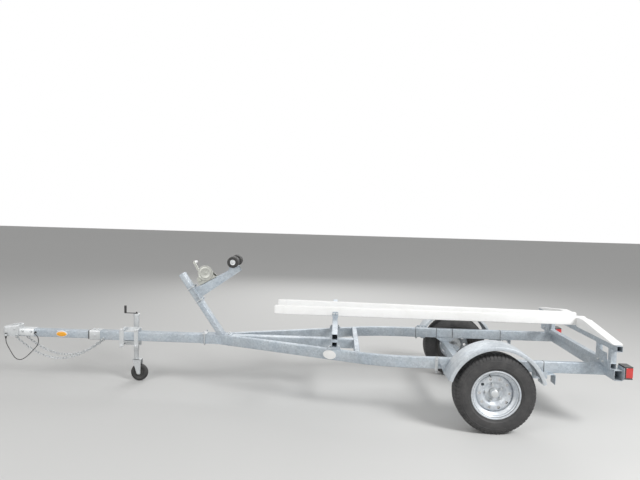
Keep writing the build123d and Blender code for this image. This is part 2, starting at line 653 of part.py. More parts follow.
post_dir = Vector(POST_TOP_X - POST_FOOT_X, 0, POST_TOP_Z - foot_z).normalized()
post_back = Vector(post_dir.Z, 0, -post_dir.X)
post_foot = Vector(POST_FOOT_X, 0, foot_z)
post_run = (Vector(POST_TOP_X, 0, POST_TOP_Z) - post_foot).length
post_plane = Plane(origin=post_foot - post_dir * POST_WIDE, x_dir=(0, 1, 0), z_dir=post_dir)
post = tube_along(post_plane, POST_WIDE, POST_DEEP, POST_WALL, post_run + POST_WIDE)
post = post - block((-BEYOND * 4, 0), (-POST_WIDE, POST_WIDE), (0, foot_z))
save("winch_post", post)

arm_dir = Vector(cos(radians(ARM_SLOPE)), 0, sin(radians(ARM_SLOPE)))
arm_up = Vector(-arm_dir.Z, 0, arm_dir.X)
seat_run = (ARM_SEAT_Z - foot_z - post_back.Z * POST_DEEP / 2) / post_dir.Z
arm_root = post_foot + post_dir * seat_run + post_back * (POST_DEEP / 2)


def on_arm(along, up, y_from, y_to, outline):
    """A plate whose outline is seen from the side, placed along the arm and up from its top face."""
    origin = arm_root + arm_dir * along + arm_up * up + Vector(0, y_to, 0)
    side = Plane(origin=origin, x_dir=arm_dir, z_dir=(0, -1, 0))
    return extrude(side * outline, y_to - y_from)


root_low = post_dir * -ARM_ROOT_H
arm_side = make_face(Polyline((0, 0), (ARM_L, 0), (ARM_L, -ARM_END_H),
                              (root_low.dot(arm_dir), root_low.dot(arm_up)), close=True))
arm_room = make_face(Polyline((-ARM_L, -ARM_WALL), (2 * ARM_L, -ARM_WALL), (2 * ARM_L, -ARM_L),
                              (-ARM_L, -ARM_L), close=True))
bow_arm = (on_arm(0, 0, -ARM_W / 2, ARM_W / 2, arm_side)
           - on_arm(0, 0, -ARM_W / 2 + ARM_WALL, ARM_W / 2 - ARM_WALL, arm_room))
save("winch_arm", bow_arm)

frame_side = make_face(Polyline((-WINCH_FRONT, 0), (WINCH_REAR, 0), (WINCH_HEAD, WINCH_AXIS_UP + WINCH_HEAD),
                                (-WINCH_HEAD, WINCH_AXIS_UP + WINCH_HEAD),
                                (-WINCH_FRONT, WINCH_AXIS_UP - WINCH_SHOULDER), close=True))
plate_in = WINCH_HALF - WINCH_PLATE_T / 2
plate_out = WINCH_HALF + WINCH_PLATE_T / 2
frame_floor = Pos((WINCH_REAR - WINCH_FRONT) / 2, WINCH_PLATE_T / 2) * Rectangle(
    WINCH_FRONT + WINCH_REAR, WINCH_PLATE_T)
mesh_run = GEAR_R + PINION_R + MESH_GAP
crank_along = WINCH_ALONG + mesh_run * cos(radians(PINION_ANGLE))
crank_up = WINCH_AXIS_UP + mesh_run * sin(radians(PINION_ANGLE))
winch_frame = (on_arm(WINCH_ALONG, 0, plate_in, plate_out, frame_side)
               + on_arm(WINCH_ALONG, 0, -plate_out, -plate_in, frame_side)
               + on_arm(WINCH_ALONG, 0, -plate_in, plate_in, frame_floor)
               - on_arm(WINCH_ALONG, WINCH_AXIS_UP, -plate_out, plate_out, Circle(SHAFT_R))
               - on_arm(crank_along, crank_up, -plate_out, plate_out, Circle(SHAFT_R)))
save("winch_frame", winch_frame)

shaft_end = plate_out + SHAFT_PAST
shaft = Circle(SHAFT_R - PIN_PLAY)
drum_in = plate_in - 1
gear_y = -plate_out - GEAR_GAP
drum = (on_arm(WINCH_ALONG, WINCH_AXIS_UP, -drum_in, drum_in, bar(DRUM_R))
        + on_arm(WINCH_ALONG, WINCH_AXIS_UP, -shaft_end, shaft_end, shaft)
        + on_arm(WINCH_ALONG, WINCH_AXIS_UP, gear_y - GEAR_T, gear_y, bar(GEAR_R, GEAR_SIDES)))
save("winch_drum", drum)

crank_in = plate_out + CRANK_OUT
crank_plate = Pos(0, CRANK_L / 2) * Rectangle(CRANK_W, CRANK_L + 2 * CRANK_END)
crank_out = crank_in + CRANK_T
crank = (on_arm(crank_along, crank_up, gear_y - GEAR_T, gear_y, bar(PINION_R))
         + on_arm(crank_along, crank_up, -shaft_end, crank_out, shaft)
         + on_arm(crank_along, crank_up, crank_in, crank_out, crank_plate)
         + on_arm(crank_along, crank_up + CRANK_L, crank_out, crank_out + GRIP_L, bar(GRIP_R)))
save("winch_crank", crank)

# Bow roller: two rubber rollers on one shaft, outside the ears of its bracket
roller_along = ARM_L - ROLLER_BACK
ear_in = ARM_W / 2
ear_out = ear_in + EAR_T
ear_low = ARM_END_H - EAR_ROUND / 2
ear_outline = make_face(Polyline((-EAR_BACK, -ear_low), (0, -ear_low), (0, 0), (EAR_ROUND, ROLLER_UP),
                                 (EAR_ROUND / 2, ROLLER_UP + EAR_ROUND), (-EAR_ROUND, ROLLER_UP + EAR_ROUND),
                                 (-EAR_BACK, -EAR_ROUND / 2), close=True))
ear = (on_arm(roller_along, 0, ear_in, ear_out, ear_outline)
       - on_arm(roller_along, ROLLER_UP, ear_in, ear_out, Circle(SHAFT_R)))
save("roller_bracket", ear, far_side(ear))

roller_in = ear_out + EAR_GAP
roller_end = roller_in + ROLLER_L
roller = on_arm(roller_along, ROLLER_UP, roller_in, roller_end, bar(ROLLER_R, ROLLER_SIDES))
roller_shaft = on_arm(roller_along, ROLLER_UP, -roller_end - SHAFT_R, roller_end + SHAFT_R, shaft)
save("bow_roller", roller_shaft + roller + far_side(roller))

# Jack: clamp on the tongue, swivelling tube, sliding leg, swivelling fork and wheel
mount_y = TONGUE / 2
clamp_z = (FRAME_MID - CLAMP_BELOW, FRAME_MID + CLAMP_ABOVE)
clamp_x = (CLAMP_BARS[0][0], CLAMP_BARS[1][1])
jack_disc_y = JACK_Y - JACK_TUBE_R - JACK_DISC_BACK
pivot_end = jack_disc_y - SEAT
clamp_far = (block(clamp_x, (mount_y, mount_y + CLAMP_T), clamp_z)
             + across(JACK_X, FRAME_MID, mount_y, pivot_end, bar(JACK_PIVOT_R))
             - across(JACK_X, FRAME_MID, mount_y, pivot_end, Circle(JACK_PIN_R)))
clamp_near = [block(bar_x, (-mount_y - CLAMP_BAR_T, -mount_y), clamp_z) for bar_x in CLAMP_BARS]
clamp_bolts = [across(sum(bar_x) / 2, FRAME_MID + up, -CLAMP_BOLT_OUT, CLAMP_BOLT_OUT, bar(CLAMP_BOLT_R, 8))
               for bar_x in CLAMP_BARS for up in CLAMP_BOLT_UP]
tongue_low = TONGUE_TOP - TONGUE
clamp_plates = [block(CLAMP_PLATE_X, (-mount_y, mount_y), (TONGUE_TOP, TONGUE_TOP + CLAMP_BAR_T)),
                block(CLAMP_PLATE_X, (-mount_y, mount_y), (tongue_low - CLAMP_BAR_T, tongue_low))]
save("jack_mount", clamp_far + clamp_near + clamp_bolts, *clamp_plates)

jack_top = FRAME_MID + JACK_TOP_ABOVE
jack_foot = FRAME_MID - JACK_TUBE_BELOW
tube_bore = bore(JACK_TUBE_R - JACK_TUBE_WALL, JACK_SIDES)
pin_y = mount_y + PIN_PLAY
jack_tube = (upright(JACK_X, JACK_Y, jack_foot, jack_top, bar(JACK_TUBE_R, JACK_SIDES))
             + across(JACK_X, FRAME_MID, jack_disc_y, JACK_Y, bar(JACK_DISC_R, JACK_SIDES))
             - upright(JACK_X, JACK_Y, jack_foot, jack_top, tube_bore)
             + across(JACK_X, FRAME_MID, pin_y, jack_disc_y, Circle(JACK_PIN_R - PIN_PLAY))
             + upright(JACK_X, JACK_Y, jack_top, jack_top + JACK_CAP_H, bar(JACK_TUBE_R + 4, JACK_SIDES)))
save("jack_tube", jack_tube)

crank_z = jack_top + JACK_CAP_H
crank_half = CRANK_W / 2
grip_z = crank_z + CRANK_T
crank_arm = block((JACK_X - JACK_CRANK_L - crank_half, JACK_X + crank_half),
                  (JACK_Y - crank_half, JACK_Y + crank_half), (crank_z, grip_z))
crank_grip = upright(JACK_X - JACK_CRANK_L, JACK_Y, grip_z, grip_z + JACK_GRIP_L, bar(JACK_GRIP_R))
save("jack_crank", crank_arm + crank_grip)

leg_top = jack_foot + JACK_LEG_INSIDE
leg_r = JACK_TUBE_R - JACK_TUBE_WALL - JACK_LEG_PLAY
jack_leg = (upright(JACK_X, JACK_Y, FORK_TOP_Z, leg_top, bar(leg_r, JACK_SIDES))
            - upright(JACK_X, JACK_Y, FORK_TOP_Z + STEM_L, leg_top, bar(leg_r - JACK_LEG_WALL, JACK_SIDES))
            - upright(JACK_X, JACK_Y, FORK_TOP_Z, FORK_TOP_Z + STEM_L, Circle(STEM_R)))
save("jack_leg", jack_leg)

fork_half = JACK_WHEEL_W / 2 + FORK_GAP
fork_x = JACK_X + JACK_TRAIL
fork_roof = FORK_TOP_Z - SEAT
fork_low = JACK_WHEEL_R - FORK_TIP
fork_out = fork_half + FORK_T
fork_top = block((JACK_X - FORK_FRONT, fork_x + FORK_REAR), (JACK_Y - fork_out, JACK_Y + fork_out),
                 (fork_roof - SADDLE_T, fork_roof))
fork_face = make_face(Polyline((JACK_X - FORK_FRONT, fork_roof), (fork_x + FORK_REAR, fork_roof),
                               (fork_x + FORK_TIP, fork_low), (fork_x - FORK_TIP, fork_low), close=True))
fork_plates = [across(0, 0, JACK_Y + y, JACK_Y + y + FORK_T, fork_face) for y in (-fork_out, fork_half)]
fork_pin = across(fork_x, JACK_WHEEL_R, JACK_Y - fork_half, JACK_Y + fork_half, Circle(JACK_AXLE_R - PIN_PLAY))
fork_stem = upright(JACK_X, JACK_Y, fork_roof, FORK_TOP_Z + STEM_L, Circle(STEM_R - PIN_PLAY))
save("jack_fork", fork_top + fork_plates + fork_pin + fork_stem)

wheel_y = (JACK_Y - JACK_WHEEL_W / 2, JACK_Y + JACK_WHEEL_W / 2)
jack_wheel = (across(fork_x, JACK_WHEEL_R, *wheel_y, Rot(0, 0, 90 + 180 / JACK_WHEEL_SIDES)
                     * bore(JACK_WHEEL_R, JACK_WHEEL_SIDES))
              - across(fork_x, JACK_WHEEL_R, *wheel_y, Circle(JACK_AXLE_R)))
save("jack_wheel", jack_wheel)

# Lamps: amber side markers on the front tube, and tail lamps behind the rear member's ends
marker = block((MARKER_X - MARKER_L / 2, MARKER_X + MARKER_L / 2), (-NECK / 2 - MARKER_T, -NECK / 2),
               (FRAME_MID - MARKER_H / 2, FRAME_MID + MARKER_H / 2))
save("side_markers", marker, far_side(marker))
lamp_front_x = REAR_X - LAMP_T
lamp_y = (LAMP_OUT_Y - LAMP_W, LAMP_OUT_Y)
lamp = block((lamp_front_x, REAR_X), lamp_y, (LAMP_Z, LAMP_Z + LAMP_H))
save("tail_lamps", lamp, far_side(lamp))
lamp_bracket = block((member_back_x, lamp_front_x), lamp_y, LAMP_PLATE_Z)
save("lamp_brackets", lamp_bracket, far_side(lamp_bracket))

# Safety chains: welded links that hang from the tongue's cross bolt to the coupler


def link_outline(half_l, half_w, shoulder):
    """One edge of a flat six-sided link."""
    return Polyline((-half_l, -shoulder), (0, -half_w), (half_l, -shoulder), (half_l, shoulder), (0, half_w),
                    (-half_l, shoulder), close=True)


link_outer = link_outline(LINK_HALF_L, LINK_HALF_W, LINK_HALF_W / 2)
link_inner = link_outline(LINK_PITCH / 2, LINK_HALF_W - LINK_BAR, LINK_SHOULDER)
link_flat = extrude(make_face(link_outer) - make_face(link_inner), LINK_BAR / 2, both=True)
link_step = LINK_PITCH - LINK_PLAY
link_reach = LINK_PITCH / 2 - CHAIN_PIN_R - LINK_PLAY


def chain_height(x, sag):
    """The height of the hanging chain's centre line."""
    part = (x - CHAIN_FRONT_X) / (CHAIN_REAR_X - CHAIN_FRONT_X)
    chord = CHAIN_FRONT_Z + (CHAIN_REAR_Z - CHAIN_FRONT_Z) * part
    return chord - 4 * sag * part * (1 - part)


def chain_places(sag):
    """Points along the hanging curve, a link apart, and where the chain would end."""
    places = []
    x = CHAIN_REAR_X
    z = CHAIN_REAR_Z
    for step in [link_reach] + [link_step] * (LINKS - 1) + [link_reach]:
        slope = (chain_height(x + 1, sag) - chain_height(x - 1, sag)) / 2
        for _ in range(4):
            guess = x - step / sqrt(1 + slope ** 2)
            slope = (chain_height(x, sag) - chain_height(guess, sag)) / (x - guess)
        x = x - step / sqrt(1 + slope ** 2)
        z = chain_height(x, sag)
        places.append((x, z))
    return places


low_sag = LINK_PITCH
high_sag = FRAME_BOTTOM
for _ in range(LINKS):
    sag = (low_sag + high_sag) / 2
    if chain_places(sag)[-1][0] > CHAIN_FRONT_X:
        high_sag = sag
    else:
        low_sag = sag
places = chain_places(sag)
links = []
for number in range(LINKS):
    x, z = places[number]
    slope = (chain_height(x + 1, sag) - chain_height(x - 1, sag)) / 2
    turn = Rot(0, -degrees(atan2(slope, 1)), 0) * Rot(90 * ((number + 1) % 2), 0, 0)
    links.append(Pos(x, -CHAIN_Y, z) * turn * link_flat)
save("safety_chains", *links, *[far_side(link) for link in links])

# Chain anchors: a cross bolt through the tongue and a stud on each side of the coupler
pin_end = CHAIN_Y + CHAIN_PIN_PAST
anchors = []
for x, z, start in ((CHAIN_REAR_X, CHAIN_REAR_Z, TONGUE / 2), (CHAIN_FRONT_X, CHAIN_FRONT_Z, COUPLER_W / 2)):
    stud = (across(x, z, start, pin_end, bar(CHAIN_PIN_R, 8))
            + across(x, z, pin_end - CHAIN_NUT_T, pin_end, bar(CHAIN_NUT_R, 6)))
    anchors += [stud, far_side(stud)]
save("chain_anchors", *anchors)
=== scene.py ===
"""Looks of a single-axle galvanised boat trailer, parked on its jack."""
from math import atan2, cos, hypot, pi, radians, sin, sqrt, tan

import bmesh
import bpy
from mathutils import Matrix, Vector, noise


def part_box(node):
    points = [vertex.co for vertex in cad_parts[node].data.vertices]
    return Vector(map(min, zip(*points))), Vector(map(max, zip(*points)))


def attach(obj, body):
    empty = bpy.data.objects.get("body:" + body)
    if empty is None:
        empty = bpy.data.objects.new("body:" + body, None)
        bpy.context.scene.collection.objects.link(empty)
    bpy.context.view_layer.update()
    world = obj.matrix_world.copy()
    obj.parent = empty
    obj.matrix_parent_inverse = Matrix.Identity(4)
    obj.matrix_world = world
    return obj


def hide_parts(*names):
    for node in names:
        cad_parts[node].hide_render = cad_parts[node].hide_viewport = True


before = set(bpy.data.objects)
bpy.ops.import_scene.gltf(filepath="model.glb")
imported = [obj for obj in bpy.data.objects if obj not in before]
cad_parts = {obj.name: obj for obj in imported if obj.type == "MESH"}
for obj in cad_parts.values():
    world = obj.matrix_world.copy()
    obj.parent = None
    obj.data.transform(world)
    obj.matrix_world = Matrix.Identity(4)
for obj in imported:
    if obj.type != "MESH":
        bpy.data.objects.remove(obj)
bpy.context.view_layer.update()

# Camera at head height on the near side, a little ahead of the wheels, looking slightly down with a
# small roll. Lengths along the trailer are measured from the wheel axle here and in every section.
AXLE_X = (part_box("hub_near")[0].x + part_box("hub_near")[1].x) / 2
HUB_Z = (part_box("hub_near")[0].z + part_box("hub_near")[1].z) / 2


def at(x, y, z):
    """A point from the axle along the trailer, the centre line across it and the floor up."""
    return Vector((AXLE_X + x, y, z))


EYE = at(-1.381, -5.213, 1.893)
SIGHT = Vector((-0.03220, 0.99745, -0.06373)).normalized()
EYE_RIGHT = Vector((0.99907, 0.03396, 0.02671))
FOCAL_MM = 29.33

eye_right = (EYE_RIGHT - SIGHT * EYE_RIGHT.dot(SIGHT)).normalized()
eye_up = eye_right.cross(SIGHT)
camera = bpy.data.objects.new("camera", bpy.data.cameras.new("camera"))
bpy.context.scene.collection.objects.link(camera)
camera.matrix_world = Matrix.Translation(EYE) @ Matrix((eye_right, eye_up, -SIGHT)).transposed().to_4x4()
camera.data.lens = FOCAL_MM
camera.data.sensor_width = 36
camera.data.clip_end = 200
bpy.context.scene.camera = camera

# Floor and light: a wide pale floor, a plain white room, and soft lamps with the main one high over
# the near rear corner, so that the shadows fall forwards and towards the far side.
FLOOR_SIZE = 60
FLOOR_PALE = (0.62, 0.62, 0.61, 1)


def add_node(tree, kind, sockets=None, **settings):
    """Adds a node to a tree with its own settings and the values of its sockets."""
    made = tree.nodes.new(kind)
    for key, value in settings.items():
        setattr(made, key, value)
    for key, value in (sockets or {}).items():
        made.inputs[key].default_value = value
    return made


def floor_finish():
    """Pale matt floor with a faint mottle."""
    finish = bpy.data.materials.new("floor")
    finish.use_nodes = True
    tree = finish.node_tree
    shader = tree.nodes["Principled BSDF"]
    shader.inputs["Roughness"].default_value = 0.9
    mottle = add_node(tree, "ShaderNodeTexNoise", {"Scale": 3.0, "Detail": 4.0})
    tint = add_node(tree, "ShaderNodeMix", {"A": FLOOR_PALE, "B": (0.67, 0.67, 0.66, 1)}, data_type="RGBA")
    tree.links.new(mottle.outputs["Fac"], tint.inputs["Factor"])
    tree.links.new(tint.outputs["Result"], shader.inputs["Base Color"])
    return finish


floor_mesh = bpy.data.meshes.new("floor")
half_floor = FLOOR_SIZE / 2
floor_mesh.from_pydata([(-half_floor, -half_floor, 0), (half_floor, -half_floor, 0),
                        (half_floor, half_floor, 0), (-half_floor, half_floor, 0)], [], [(0, 1, 2, 3)])
floor_mesh.materials.append(floor_finish())
floor = bpy.data.objects.new("floor", floor_mesh)
bpy.context.scene.collection.objects.link(floor)

room = bpy.data.worlds.new("room")
bpy.context.scene.world = room
room.use_nodes = True
room_light = room.node_tree.nodes["Background"]
room_light.inputs["Color"].default_value = (1, 1, 1, 1)
rays = add_node(room.node_tree, "ShaderNodeLightPath")
seen = add_node(room.node_tree, "ShaderNodeMath", operation="MAXIMUM")
seen_too = add_node(room.node_tree, "ShaderNodeMath", operation="MAXIMUM")
level = add_node(room.node_tree, "ShaderNodeMapRange", {"To Min": 0.38, "To Max": 1.0})
room.node_tree.links.new(rays.outputs["Is Camera Ray"], seen.inputs[0])
room.node_tree.links.new(rays.outputs["Is Glossy Ray"], seen.inputs[1])
room.node_tree.links.new(seen.outputs[0], seen_too.inputs[0])
room.node_tree.links.new(rays.outputs["Is Transmission Ray"], seen_too.inputs[1])
room.node_tree.links.new(seen_too.outputs[0], level.inputs["Value"])
room.node_tree.links.new(level.outputs[0], room_light.inputs["Strength"])


def soft_lamp(name, place, aim, size, watts):
    """A square area lamp that faces a point."""
    lamp = bpy.data.objects.new(name, bpy.data.lights.new(name, "AREA"))
    lamp.data.size = size
    lamp.data.energy = watts
    lamp.location = place
    lamp.rotation_euler = (aim - place).to_track_quat("-Z", "Y").to_euler()
    bpy.context.scene.collection.objects.link(lamp)


soft_lamp("key", at(4.2, -4.4, 5.6), at(-1.2, 0, 0.4), 2.4, 500)
soft_lamp("fill", at(-6.5, -5.5, 4.2), at(-2.2, 0, 0.5), 4.5, 190)
soft_lamp("back", at(-1.5, 6.0, 4.5), at(-1.5, 0, 0.5), 5.0, 150)
bpy.context.scene.view_settings.view_transform = "Standard"

# Tongue: one square steel tube on the centre line, hot-dip galvanised after welding, so zinc crystals
# and runs show on it. The saddle, jack and splice collar are bolted to it.
TONGUE = 0.090
TONGUE_WALL = 0.005
TONGUE_ENDS = (-3.765, -1.185)
FRAME_MID = 0.524
TUBE_CORNER = 0.007


def shared_group(name, inputs, outputs):
    """A node group with its sockets, and its input and output nodes."""
    group = bpy.data.node_groups.new(name, "ShaderNodeTree")
    for label, kind, value in inputs:
        socket = group.interface.new_socket(label, in_out="INPUT", socket_type=kind)
        socket.default_value = value
    for label, kind in outputs:
        group.interface.new_socket(label, in_out="OUTPUT", socket_type=kind)
    return group, group.nodes.new("NodeGroupInput"), group.nodes.new("NodeGroupOutput")


def make_zinc_crystals():
    """Zinc spangle: flat crystals of slightly different grey, with soft runs and a fine grain."""
    group, given, result = shared_group("zinc_crystals",
                                        [("Crystals", "NodeSocketFloat", 60.0),
                                         ("Contrast", "NodeSocketFloat", 0.5),
                                         ("Light", "NodeSocketColor", (0.6, 0.64, 0.67, 1)),
                                         ("Dark", "NodeSocketColor", (0.42, 0.46, 0.5, 1))],
                                        [("Color", "NodeSocketColor"), ("Roughness", "NodeSocketFloat"),
                                         ("Height", "NodeSocketFloat")])
    link = group.links.new
    place = add_node(group, "ShaderNodeTexCoord")
    warp = add_node(group, "ShaderNodeTexNoise", {"Scale": 35.0, "Detail": 2.0})
    bend = add_node(group, "ShaderNodeMix", {"Factor": 0.035}, data_type="VECTOR")
    crystals = add_node(group, "ShaderNodeTexVoronoi")
    split = add_node(group, "ShaderNodeSeparateColor")
    runs = add_node(group, "ShaderNodeTexNoise", {"Scale": 4.5, "Detail": 5.0, "Roughness": 0.65})
    grain = add_node(group, "ShaderNodeTexNoise", {"Scale": 420.0, "Detail": 2.0})
    link(place.outputs["Object"], warp.inputs["Vector"])
    link(place.outputs["Object"], bend.inputs[4])
    link(warp.outputs["Color"], bend.inputs[5])
    link(bend.outputs[1], crystals.inputs["Vector"])
    link(given.outputs["Crystals"], crystals.inputs["Scale"])
    link(place.outputs["Object"], runs.inputs["Vector"])
    link(place.outputs["Object"], grain.inputs["Vector"])
    link(crystals.outputs["Color"], split.inputs[0])
    facet = add_node(group, "ShaderNodeMath", operation="MULTIPLY")
    link(split.outputs[0], facet.inputs[0])
    link(given.outputs["Contrast"], facet.inputs[1])
    cloud = add_node(group, "ShaderNodeMapRange",
                     {"From Min": 0.3, "From Max": 0.7, "To Min": 0.0, "To Max": 0.55})
    link(runs.outputs["Fac"], cloud.inputs["Value"])
    total = add_node(group, "ShaderNodeMath", operation="ADD", use_clamp=True)
    link(facet.outputs[0], total.inputs[0])
    link(cloud.outputs[0], total.inputs[1])
    colour = add_node(group, "ShaderNodeMix", data_type="RGBA")
    link(total.outputs[0], colour.inputs["Factor"])
    link(given.outputs["Light"], colour.inputs["A"])
    link(given.outputs["Dark"], colour.inputs["B"])
    link(colour.outputs["Result"], result.inputs["Color"])
    rough = add_node(group, "ShaderNodeMapRange", {"To Min": 0.34, "To Max": 0.58})
    link(total.outputs[0], rough.inputs["Value"])
    link(rough.outputs[0], result.inputs["Roughness"])
    height = add_node(group, "ShaderNodeMath", {1: 0.35}, operation="MULTIPLY_ADD")
    link(split.outputs[1], height.inputs[0])
    link(grain.outputs["Fac"], height.inputs[2])
    link(height.outputs[0], result.inputs["Height"])
    return group


def make_road_dust():
    """Where road dust lies: a mask of soft patches."""
    group, given, result = shared_group(
        "road_dust", [("Amount", "NodeSocketFloat", 0.3), ("Patch", "NodeSocketFloat", 6.0)],
        [("Mask", "NodeSocketFloat")])
    link = group.links.new
    place = add_node(group, "ShaderNodeTexCoord")
    patches = add_node(group, "ShaderNodeTexNoise", {"Detail": 6.0, "Roughness": 0.7})
    spread = add_node(group, "ShaderNodeMapRange", {"From Min": 0.38, "From Max": 0.75})
    result_mask = add_node(group, "ShaderNodeMath", operation="MULTIPLY", use_clamp=True)
    link(place.outputs["Object"], patches.inputs["Vector"])
    link(given.outputs["Patch"], patches.inputs["Scale"])
    link(patches.outputs["Fac"], spread.inputs["Value"])
    link(spread.outputs[0], result_mask.inputs[0])
    link(given.outputs["Amount"], result_mask.inputs[1])
    link(result_mask.outputs[0], result.inputs["Mask"])
    return group


zinc_crystals = make_zinc_crystals()
road_dust = make_road_dust()


def new_finish(name, **plain):
    """A material whose Principled shader has plain values, with its node tree and that shader."""
    finish = bpy.data.materials.new(name)
    finish.use_nodes = True
    shader = finish.node_tree.nodes["Principled BSDF"]
    for key, value in plain.items():
        shader.inputs[key.replace("_", " ").title()].default_value = value
    return finish, finish.node_tree, shader


def zinc_finish(name, light, dark, crystals, contrast, metal, dust=0.3, bump=0.25):
    """Zinc-coated steel: spangle in the colour, gloss and surface, and dust in patches."""
    finish, tree, shader = new_finish(name, metallic=metal)
    link = tree.links.new
    zinc = add_node(tree, "ShaderNodeGroup", node_tree=zinc_crystals)
    for key, value in (("Crystals", crystals), ("Contrast", contrast), ("Light", light), ("Dark", dark)):
        zinc.inputs[key].default_value = value
    dusty = add_node(tree, "ShaderNodeGroup", node_tree=road_dust)
    dusty.inputs["Amount"].default_value = dust
    colour = add_node(tree, "ShaderNodeMix", {"B": (0.52, 0.5, 0.47, 1)}, data_type="RGBA")
    link(dusty.outputs["Mask"], colour.inputs["Factor"])
    link(zinc.outputs["Color"], colour.inputs["A"])
    link(colour.outputs["Result"], shader.inputs["Base Color"])
    link(zinc.outputs["Roughness"], shader.inputs["Roughness"])
    raised = add_node(tree, "ShaderNodeBump", {"Strength": bump, "Distance": 0.0006})
    link(zinc.outputs["Height"], raised.inputs["Height"])
    link(raised.outputs["Normal"], shader.inputs["Normal"])
    return finish


galvanised = zinc_finish("galvanised", (0.56, 0.62, 0.67, 1), (0.33, 0.38, 0.43, 1), 70, 0.5, 0.35)


def rounded_rect(width, height, corner, steps=4):
    """Points round a rectangle with rounded corners, in its own (across, up)."""
    points = []
    for side, rise, start in ((1, 1, 0), (-1, 1, 90), (-1, -1, 180), (1, -1, 270)):
        for step in range(steps + 1):
            turn = radians(start + 90 * step / steps)
            points.append((side * (width / 2 - corner) + corner * cos(turn),
                           rise * (height / 2 - corner) + corner * sin(turn)))
    return points


def rings_along(path, across, section, cuts=(None, None)):
    """The section placed at each point of a path, square to it, and trimmed at its ends by planes."""
    rings = []
    for number, point in enumerate(path):
        ahead = path[min(number + 1, len(path) - 1)] - path[max(number - 1, 0)]
        ahead.normalize()
        side = (across - ahead * across.dot(ahead)).normalized()
        up = side.cross(ahead)
        ring = [point + side * a + up * b for a, b in section]
        cut = cuts[0] if number == 0 else cuts[1] if number == len(path) - 1 else None
        if cut:
            place, normal = cut
            ring = [v + ahead * ((place - v).dot(normal) / ahead.dot(normal)) for v in ring]
        rings.append(ring)
    return rings


def skin(bm, rings, closed_path=False, capped=True):
    """Faces between rings of points, with flat ends."""
    made = [[bm.verts.new(v) for v in ring] for ring in rings]
    count = len(made[0])
    for number in range(len(made) if closed_path else len(made) - 1):
        here, there = made[number], made[(number + 1) % len(made)]
        for k in range(count):
            bm.faces.new((here[k], here[(k + 1) % count], there[(k + 1) % count], there[k]))
    if capped and not closed_path:
        bm.faces.new(made[0])
        bm.faces.new(made[-1])
    return made


def tube(bm, path, across, width, height, wall, corner=TUBE_CORNER, cuts=(None, None)):
    """A rectangular hollow section with rounded corners and open ends."""
    outer = skin(bm, rings_along(path, across, rounded_rect(width, height, corner), cuts), capped=False)
    inner = skin(bm, rings_along(path, across, rounded_rect(
        width - 2 * wall, height - 2 * wall, max(corner - wall, 0.002)), cuts), capped=False)
    for out_ring, in_ring in ((outer[0], inner[0]), (outer[-1], inner[-1])):
        count = len(out_ring)
        for k in range(count):
            bm.faces.new((out_ring[k], out_ring[(k + 1) % count], in_ring[(k + 1) % count], in_ring[k]))


def add_piece(name, bm, finish, body, slot, *stands_for, sharp=35):
    """Makes a piece of the faces built, with its finish and body, in place of CAD nodes. Its slot is not
    used.
    """
    bmesh.ops.recalc_face_normals(bm, faces=bm.faces)
    mesh = bpy.data.meshes.new(name)
    bm.to_mesh(mesh)
    bm.free()
    mesh.shade_smooth()
    mesh.set_sharp_from_angle(angle=radians(sharp))
    mesh.materials.append(finish)
    piece = bpy.data.objects.new(name, mesh)
    bpy.context.scene.collection.objects.link(piece)
    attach(piece, body)
    if stands_for:
        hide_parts(*stands_for)
    return piece


ACROSS = Vector((0, 1, 0))

bm = bmesh.new()
tube(bm, [at(TONGUE_ENDS[0], 0, FRAME_MID), at(TONGUE_ENDS[1], 0, FRAME_MID)], ACROSS, TONGUE, TONGUE,
     TONGUE_WALL)
add_piece("tongue_tube_rounded", bm, galvanised, "chassis", "galvanised", "tongue_tube")

# Splice: a bolted collar that joins the thinner front tube to the tongue. Its head is a heavy folded
# plate box, and its tail goes into the tongue round the front tube.
NECK = 0.076
NECK_WALL = 0.0045
NECK_ENDS = (-4.600, -3.655)
COLLAR_ENDS = (-3.875, -3.765)
COLLAR_W = 0.098
COLLAR_BOLT_IN = 0.030

ALONG = Vector((1, 0, 0))
UP = Vector((0, 0, 1))


def frame_at(point, axis, side=None):
    """A placed frame whose third axis is the one given, and its first the side given."""
    axis = axis.normalized()
    if side is None:
        side = UP if abs(axis.z) < 0.9 else ALONG
    first = (side - axis * side.dot(axis)).normalized()
    second = axis.cross(first)
    turned = Matrix((first, second, axis)).transposed().to_4x4()
    return Matrix.Translation(point) @ turned


def lathe(bm, profile, place, segments=32, phase=0.0):
    """A turned shape from (radius, height) points about the third axis of a placed frame."""
    rings = []
    for radius, height in profile:
        if radius < 1e-6:
            rings.append([bm.verts.new(place @ Vector((0, 0, height)))])
            continue
        rings.append([bm.verts.new(place @ Vector((radius * cos(2 * pi * k / segments + phase),
                                                   radius * sin(2 * pi * k / segments + phase), height)))
                      for k in range(segments)])
    for here, there in zip(rings, rings[1:]):
        for k in range(segments):
            a, b = here[k % len(here)], here[(k + 1) % len(here)]
            c, d = there[(k + 1) % len(there)], there[k % len(there)]
            corners = [a, b, c, d]
            if a is b:
                corners = [a, c, d]
            elif c is d:
                corners = [a, b, c]
            bm.faces.new(corners)


